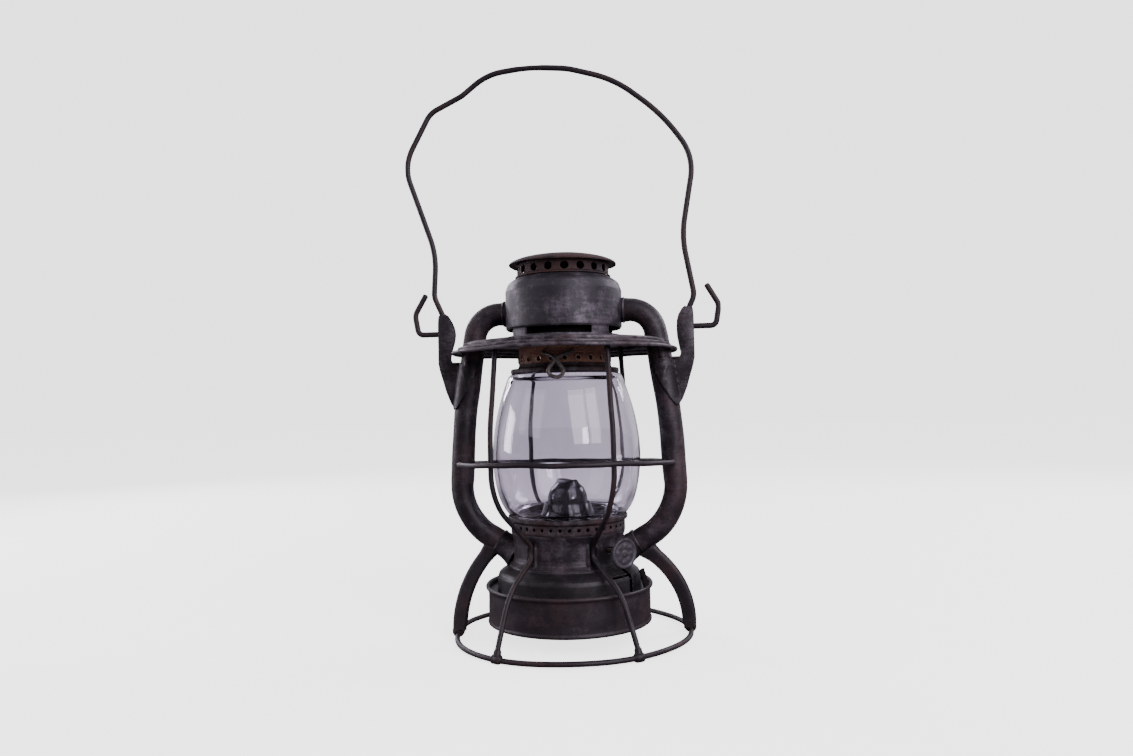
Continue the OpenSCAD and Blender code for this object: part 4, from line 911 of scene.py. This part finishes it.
# Knob: a knurled edge and a worn rosette of raised lobes
def makeKnob(k):
    low, high = k["back"], k["back"] + k["thick"]
    outline = [(r, high + z) for r, z in k["face"]]
    outline += [(k["radius"], (low + high) / 2)] + [(r, low + z) for r, z in k["rear"]]
    phi = wholeTurn(288)
    r, z = smoothed(outline, 6).T[..., None]
    front = z > (low + high) / 2
    petal = 0.16 * np.cos(k["petals"] * phi + 0.15 * r) * bell(r, 5.2, 1.6)
    worn = 0.08 * np.sin(3 * phi + r)
    reach = r + 0.25 * rise(r, 9.0, 9.6) * (np.abs(np.cos(k["teeth"] / 2 * phi)) - 0.7)
    points = np.stack([reach * np.cos(phi), reach * np.sin(phi), z + (petal + worn) * front], -1)
    knob = onShaft(points), gridFaces(len(r), 288)
    addPiece("wickKnob", knob, "knob", "wick_shaft", ["wick_knob"], crisp=40)


makeKnob(knobShape)

# Burner dome: a dark glossy cowl with a raised slot
domeShape = {
    "profile": [(14, 74.1), (13.95, 84), (13.8, 88.2), (13.3, 92.4), (12.3, 96), (11, 98.6)], "crown": 4.8,
    "slotWide": 3, "slotLong": 9.5, "lip": [(1, 103.8), (0.96, 103.85), (0.93, 103.5), (0.92, 101.5)],
    "wall": 0.5}


# The crown is bridged from the dome's round edge to the slot, which lies in the wick's direction and follows
# (p / long)^4 + (q / wide)^4 = 1
def makeDome(d):
    phi, a = wholeTurn(160), math.radians(shaft["azimuth"])
    outward = np.stack([np.sin(phi), -np.cos(phi)], -1)
    p, q = outward @ (math.sin(a), -math.cos(a)), outward @ (math.cos(a), math.sin(a))
    slot = outward / ((p / d["slotLong"]) ** 4 + (q / d["slotWide"]) ** 4)[:, None] ** 0.25
    rows = [(radius * outward, height) for radius, height in smoothed(d["profile"], 7)]
    radius, height = d["profile"][-1]
    for t in np.linspace(0.1, 1, 10):
        rows.append((radius * outward * (1 - t) + slot * t, height + d["crown"] * math.sin(t * math.pi / 2)))
    rows += [(slot * part, z) for part, z in d["lip"]]
    points = np.stack([np.column_stack([plan, np.full(160, z)]) for plan, z in rows])
    dome = points, gridFaces(len(points), 160)
    addPiece("burnerDome", dome, "dome", "fount", ["burner_dome"], d["wall"], 50)


makeDome(domeShape)

# Air chamber: skirt, sloped shoulder and waist, the speckled band, and the mouths that take the tubes
chamberShape = {
    "lower": [(48.3, 32.6), (47.9, 34), (47.7, 41), (47, 43.2), (45.4, 44.6), (42, 46.6), (39.6, 48),
        (39.9, 48.9), (38.9, 49.8), (37.4, 51.6), (36.9, 54.4), (36.85, 64), (37.3, 66.4), (38.2, 69.3),
        (38.4, 70.5)], "rounds": [0.8, 3, 1.4, 1.6, 3, 0.8, 0.5, 0.5, 1.6, 3, 6, 2, 2], "radius": 38.4,
    "band": (70.5, 77),
    "upper": [(38.4, 77), (38.5, 77.5), (39.7, 78), (40.2, 78.6), (40.2, 80.6), (39.9, 81), (39.4, 80.9)],
    "upperRounds": [0.3, 0.4, 0.5, 0.4, 0.3], "turn": 15, "slot": 3.6, "slitZ": 43.9, "slitHalf": 0.55,
    "holes": 40, "hole": 1.1, "holeZ": 74.5, "wall": 0.8, "mouth": (47.6, 0, 62.5), "mouthLong": 13.5,
    "mouthSlope": 32, "mouthRadius": 8.55, "mouthWall": 0.4}


# The folds are narrow ridges on both sides of each wire; the cuts for the wick shaft (a round hole that runs
# sideways into an upright slot, and a slit along the shoulder) are faces left out
def makeChamber(c):
    points, faces = turned(roundedPath(c["lower"], c["rounds"], 0.4), 720, 0.12, 2.4)
    theta, z = np.degrees(azimuthOf(points)), points[..., 2]
    fold = 0
    for wire in guardShape["wires"]:
        away = (theta - wire[2] + 180) % 360 - 180
        fold = fold + 1.7 * bell(np.abs(away), 4.6, 1.5) - 1.3 * bell(away, 0, 2.6)
    fold = fold * rise(z, 49.5, 52) * rise(z, 65.5, 62.5)
    points[..., :2] *= (1 + fold / reachOf(points))[..., None]
    middle = middles(points, faces)
    azimuth, radius, height = np.degrees(azimuthOf(middle)), reachOf(middle), middle[:, 2]
    start = shaft["azimuth"] + np.degrees(np.arcsin(np.clip(shaft["aside"] / radius, -1, 1)))
    end = start + c["turn"]
    aside = (azimuth - np.clip(azimuth, start, end)) * radius / radian
    bore = np.hypot(aside, height - shaft["z"]) < c["slot"] / 2
    # the upright slot has torn edges
    jag = 0.5 * np.sin(height * 1.9) + 0.3 * np.sin(height * 4.3)
    half = np.degrees(c["slot"] / 2 / radius) + jag * 0.6
    upright = (np.abs(azimuth - end) < half) & (height < shaft["z"])
    slit = (azimuth > shaft["azimuth"] - 3) & (azimuth < end) & (np.abs(height - c["slitZ"]) < c["slitHalf"])
    addPiece("airChamber", (points, faces[~(bore | upright | slit)]), "chamber", stands=["air_chamber"],
             sheet=c["wall"], crisp=40)
    band = piercedBand(c["radius"], *c["band"], c["holes"], c["hole"], c["holeZ"], -0.1, 0, 4, 7)
    top = turned(roundedPath(c["upper"], c["upperRounds"], 0.3), 280)
    addPiece("airBand", joined([band, top]), "band", sheet=c["wall"], crisp=40)
    slope, t = math.radians(c["mouthSlope"]), np.linspace(0, 1, 26)
    size = c["mouthRadius"] + 0.45 * bell(t, 0.06, 0.06) + 2.6 * t ** 3
    mouths = []
    for side in (-1, 1):
        along = np.array([-side * math.cos(slope), 0, -math.sin(slope)])
        line = np.array(c["mouth"]) * (side, 1, 1) + (t * c["mouthLong"])[:, None] * along
        mouths.append(sleeve(line, np.cross(yAxis, along), yAxis, size[:, None], 72))
    addPiece("tubeMouths", joined(mouths), "chamber", sheet=c["mouthWall"])


makeChamber(chamberShape)

# Glossy funnel on the seat's lip round the dome, and the catch on the fount's rim, a bent ragged strap
trimShape = {
    "funnel": [(19.4, 78.8), (18.9, 79.6), (18, 81.8), (16.8, 84.6), (15.7, 87), (15.2, 88)],
    "funnelWall": 0.4, "catch": [(53.4, 33.6), (52.6, 37), (51.6, 41), (50.4, 44.4), (49.8, 45.6)],
    "catchAzimuth": 79, "catchHalf": (1.5, 4.4)}


def makeTrim(t):
    addPiece("seatFunnel", turned(smoothed(t["funnel"]), 200), "dome", sheet=t["funnelWall"], crisp=60)
    line, across = stoodUp(smoothed(t["catch"], 10), t["catchAzimuth"])
    part = np.linspace(0, 1, len(line))
    thick, wide = t["catchHalf"]
    ragged = wide + 0.5 * np.sin(9 * part) + 0.3 * np.sin(23 * part + 1)
    # the catch is a real piece, but its near-black colour is painted shade of the dark gap at the slot
    addPiece("fountCatch", sweptRod(line, across, 1.0, 32, tall=thick, wide=ragged), "soot", "fount")


makeTrim(trimShape)
print("body pieces made")

# Camera at the photograph's place: distance, turn and height in metres and degrees
cameraSetting = {
    "distance": 0.594, "side": 8, "height": 0.1547, "heading": 7.9, "pitch": 1.72, "roll": 1.26,
    "lens": 27.8, "sensor": 36, "near": 0.01, "far": 20}


def placeCamera(c):
    side, heading, pitch, roll = (math.radians(c[name]) for name in ("side", "heading", "pitch", "roll"))
    forward = Vector((-math.sin(heading) * math.cos(pitch), math.cos(heading) * math.cos(pitch),
                      math.sin(pitch)))
    right = forward.cross(Vector((0, 0, 1))).normalized()
    up = right.cross(forward)
    across = right * math.cos(roll) - up * math.sin(roll)
    over = right * math.sin(roll) + up * math.cos(roll)
    data = bpy.data.cameras.new("camera")
    data.lens, data.sensor_width = c["lens"], c["sensor"]
    data.clip_start, data.clip_end = c["near"], c["far"]
    camera = linked("camera", data)
    place = Vector((c["distance"] * math.sin(side), -c["distance"] * math.cos(side), c["height"]))
    camera.matrix_world = Matrix.Translation(place) @ Matrix((across, over, -forward)).transposed().to_4x4()
    bpy.context.scene.camera = camera


# Soft studio light, faintly violet: a wide key from the right, a fill, two lamps behind, two small windows
# that the dome mirrors, and a pale surround. The camera sees it pale; as a light it is darker in front, so
# that the metal and the glass don't grey over.
lightTint = (0.98, 0.91, 1.03)
white = (1, 1, 1)
lightSetting = [
    {"name": "key", "place": (0.9, -1.0, 0.9), "size": 1.3, "power": 25},
    {"name": "fill", "place": (-1.1, -0.8, 0.9), "size": 1.1, "power": 5.5},
    {"name": "leftBack", "place": (-1.0, 0.9, 0.7), "size": 0.6, "power": 8},
    {"name": "rightBack", "place": (1.0, 0.8, 0.8), "size": 0.6, "power": 8},
    {"name": "leftWindow", "place": (-1.1, 0.1, 0.3), "size": 0.34, "power": 4.5},
    {"name": "rightWindow", "place": (0.7, -0.86, 0.36), "size": 0.2, "power": 2.6},
]
lampAim = Vector((0, 0, 0.15))
surround = {"seen": 2.6, "front": 0.13, "back": 0.76, "from": -0.9, "to": 0.7}


def lightRoom():
    for setting in lightSetting:
        data = bpy.data.lights.new(setting["name"], "AREA")
        data.size, data.energy, data.color = setting["size"], setting["power"], lightTint
        lamp = linked(setting["name"], data)
        lamp.location = setting["place"]
        lamp.rotation_euler = (lampAim - lamp.location).to_track_quat("-Z", "Y").to_euler()
    s = Shader(bpy.data.worlds.new("surround"))
    seen = s.node("LightPath", {}, {}, "Is Camera Ray")
    depth = s.node("SeparateXYZ", {}, {"Vector": s.node("TexCoord", {}, {}, "Generated")}, "Y")
    room = s.node("MapRange", {}, {"Value": depth, "From Min": surround["from"], "From Max": surround["to"],
                                   "To Min": surround["front"], "To Max": surround["back"]})
    strength = s.node("MapRange", {}, {"Value": seen, "To Min": room, "To Max": surround["seen"]})
    shown = s.node("Background", {}, {"Color": s.mix(seen, lightTint, white), "Strength": strength})
    bpy.context.scene.world = s.finish(shown, "World")


# Plain pale floor for the camera and dark for reflections; through the glass it is bright behind the lantern
floorSetting = {
    "reach": 6, "dark": (0.17, 0.16, 0.175), "pale": (0.9, 0.9, 0.9), "glow": 2.25, "through": 0.58}


def layFloor(f):
    corners = [(x * f["reach"], y * f["reach"], 0) for x, y in ((-1, -1), (1, -1), (1, 1), (-1, 1))]
    mesh = bpy.data.meshes.new("floor")
    mesh.from_pydata(corners, [], [(0, 1, 2, 3)])
    floor = linked("floor", mesh)
    s = Shader(bpy.data.materials.new("paleFloor"))
    seen = s.node("LightPath", {}, {}, "Is Camera Ray")
    through = s.node("LightPath", {}, {}, "Is Transmission Ray")
    behind = s.step(s.node("SeparateXYZ", {}, {"Vector": s.position}, "Y"), 0.15, 0.6)
    mesh.materials.append(s.finish(s.node("BsdfPrincipled", {}, {
        "Base Color": s.mix(seen, f["dark"], f["pale"]), "Roughness": 0.9, "Specular IOR Level": 0.0,
        "Emission Color": s.mix(seen, lightTint, white),
        "Emission Strength": seen * f["glow"] + through * behind * f["through"]})))


placeCamera(cameraSetting)
lightRoom()
layFloor(floorSetting)
print("stage ready")
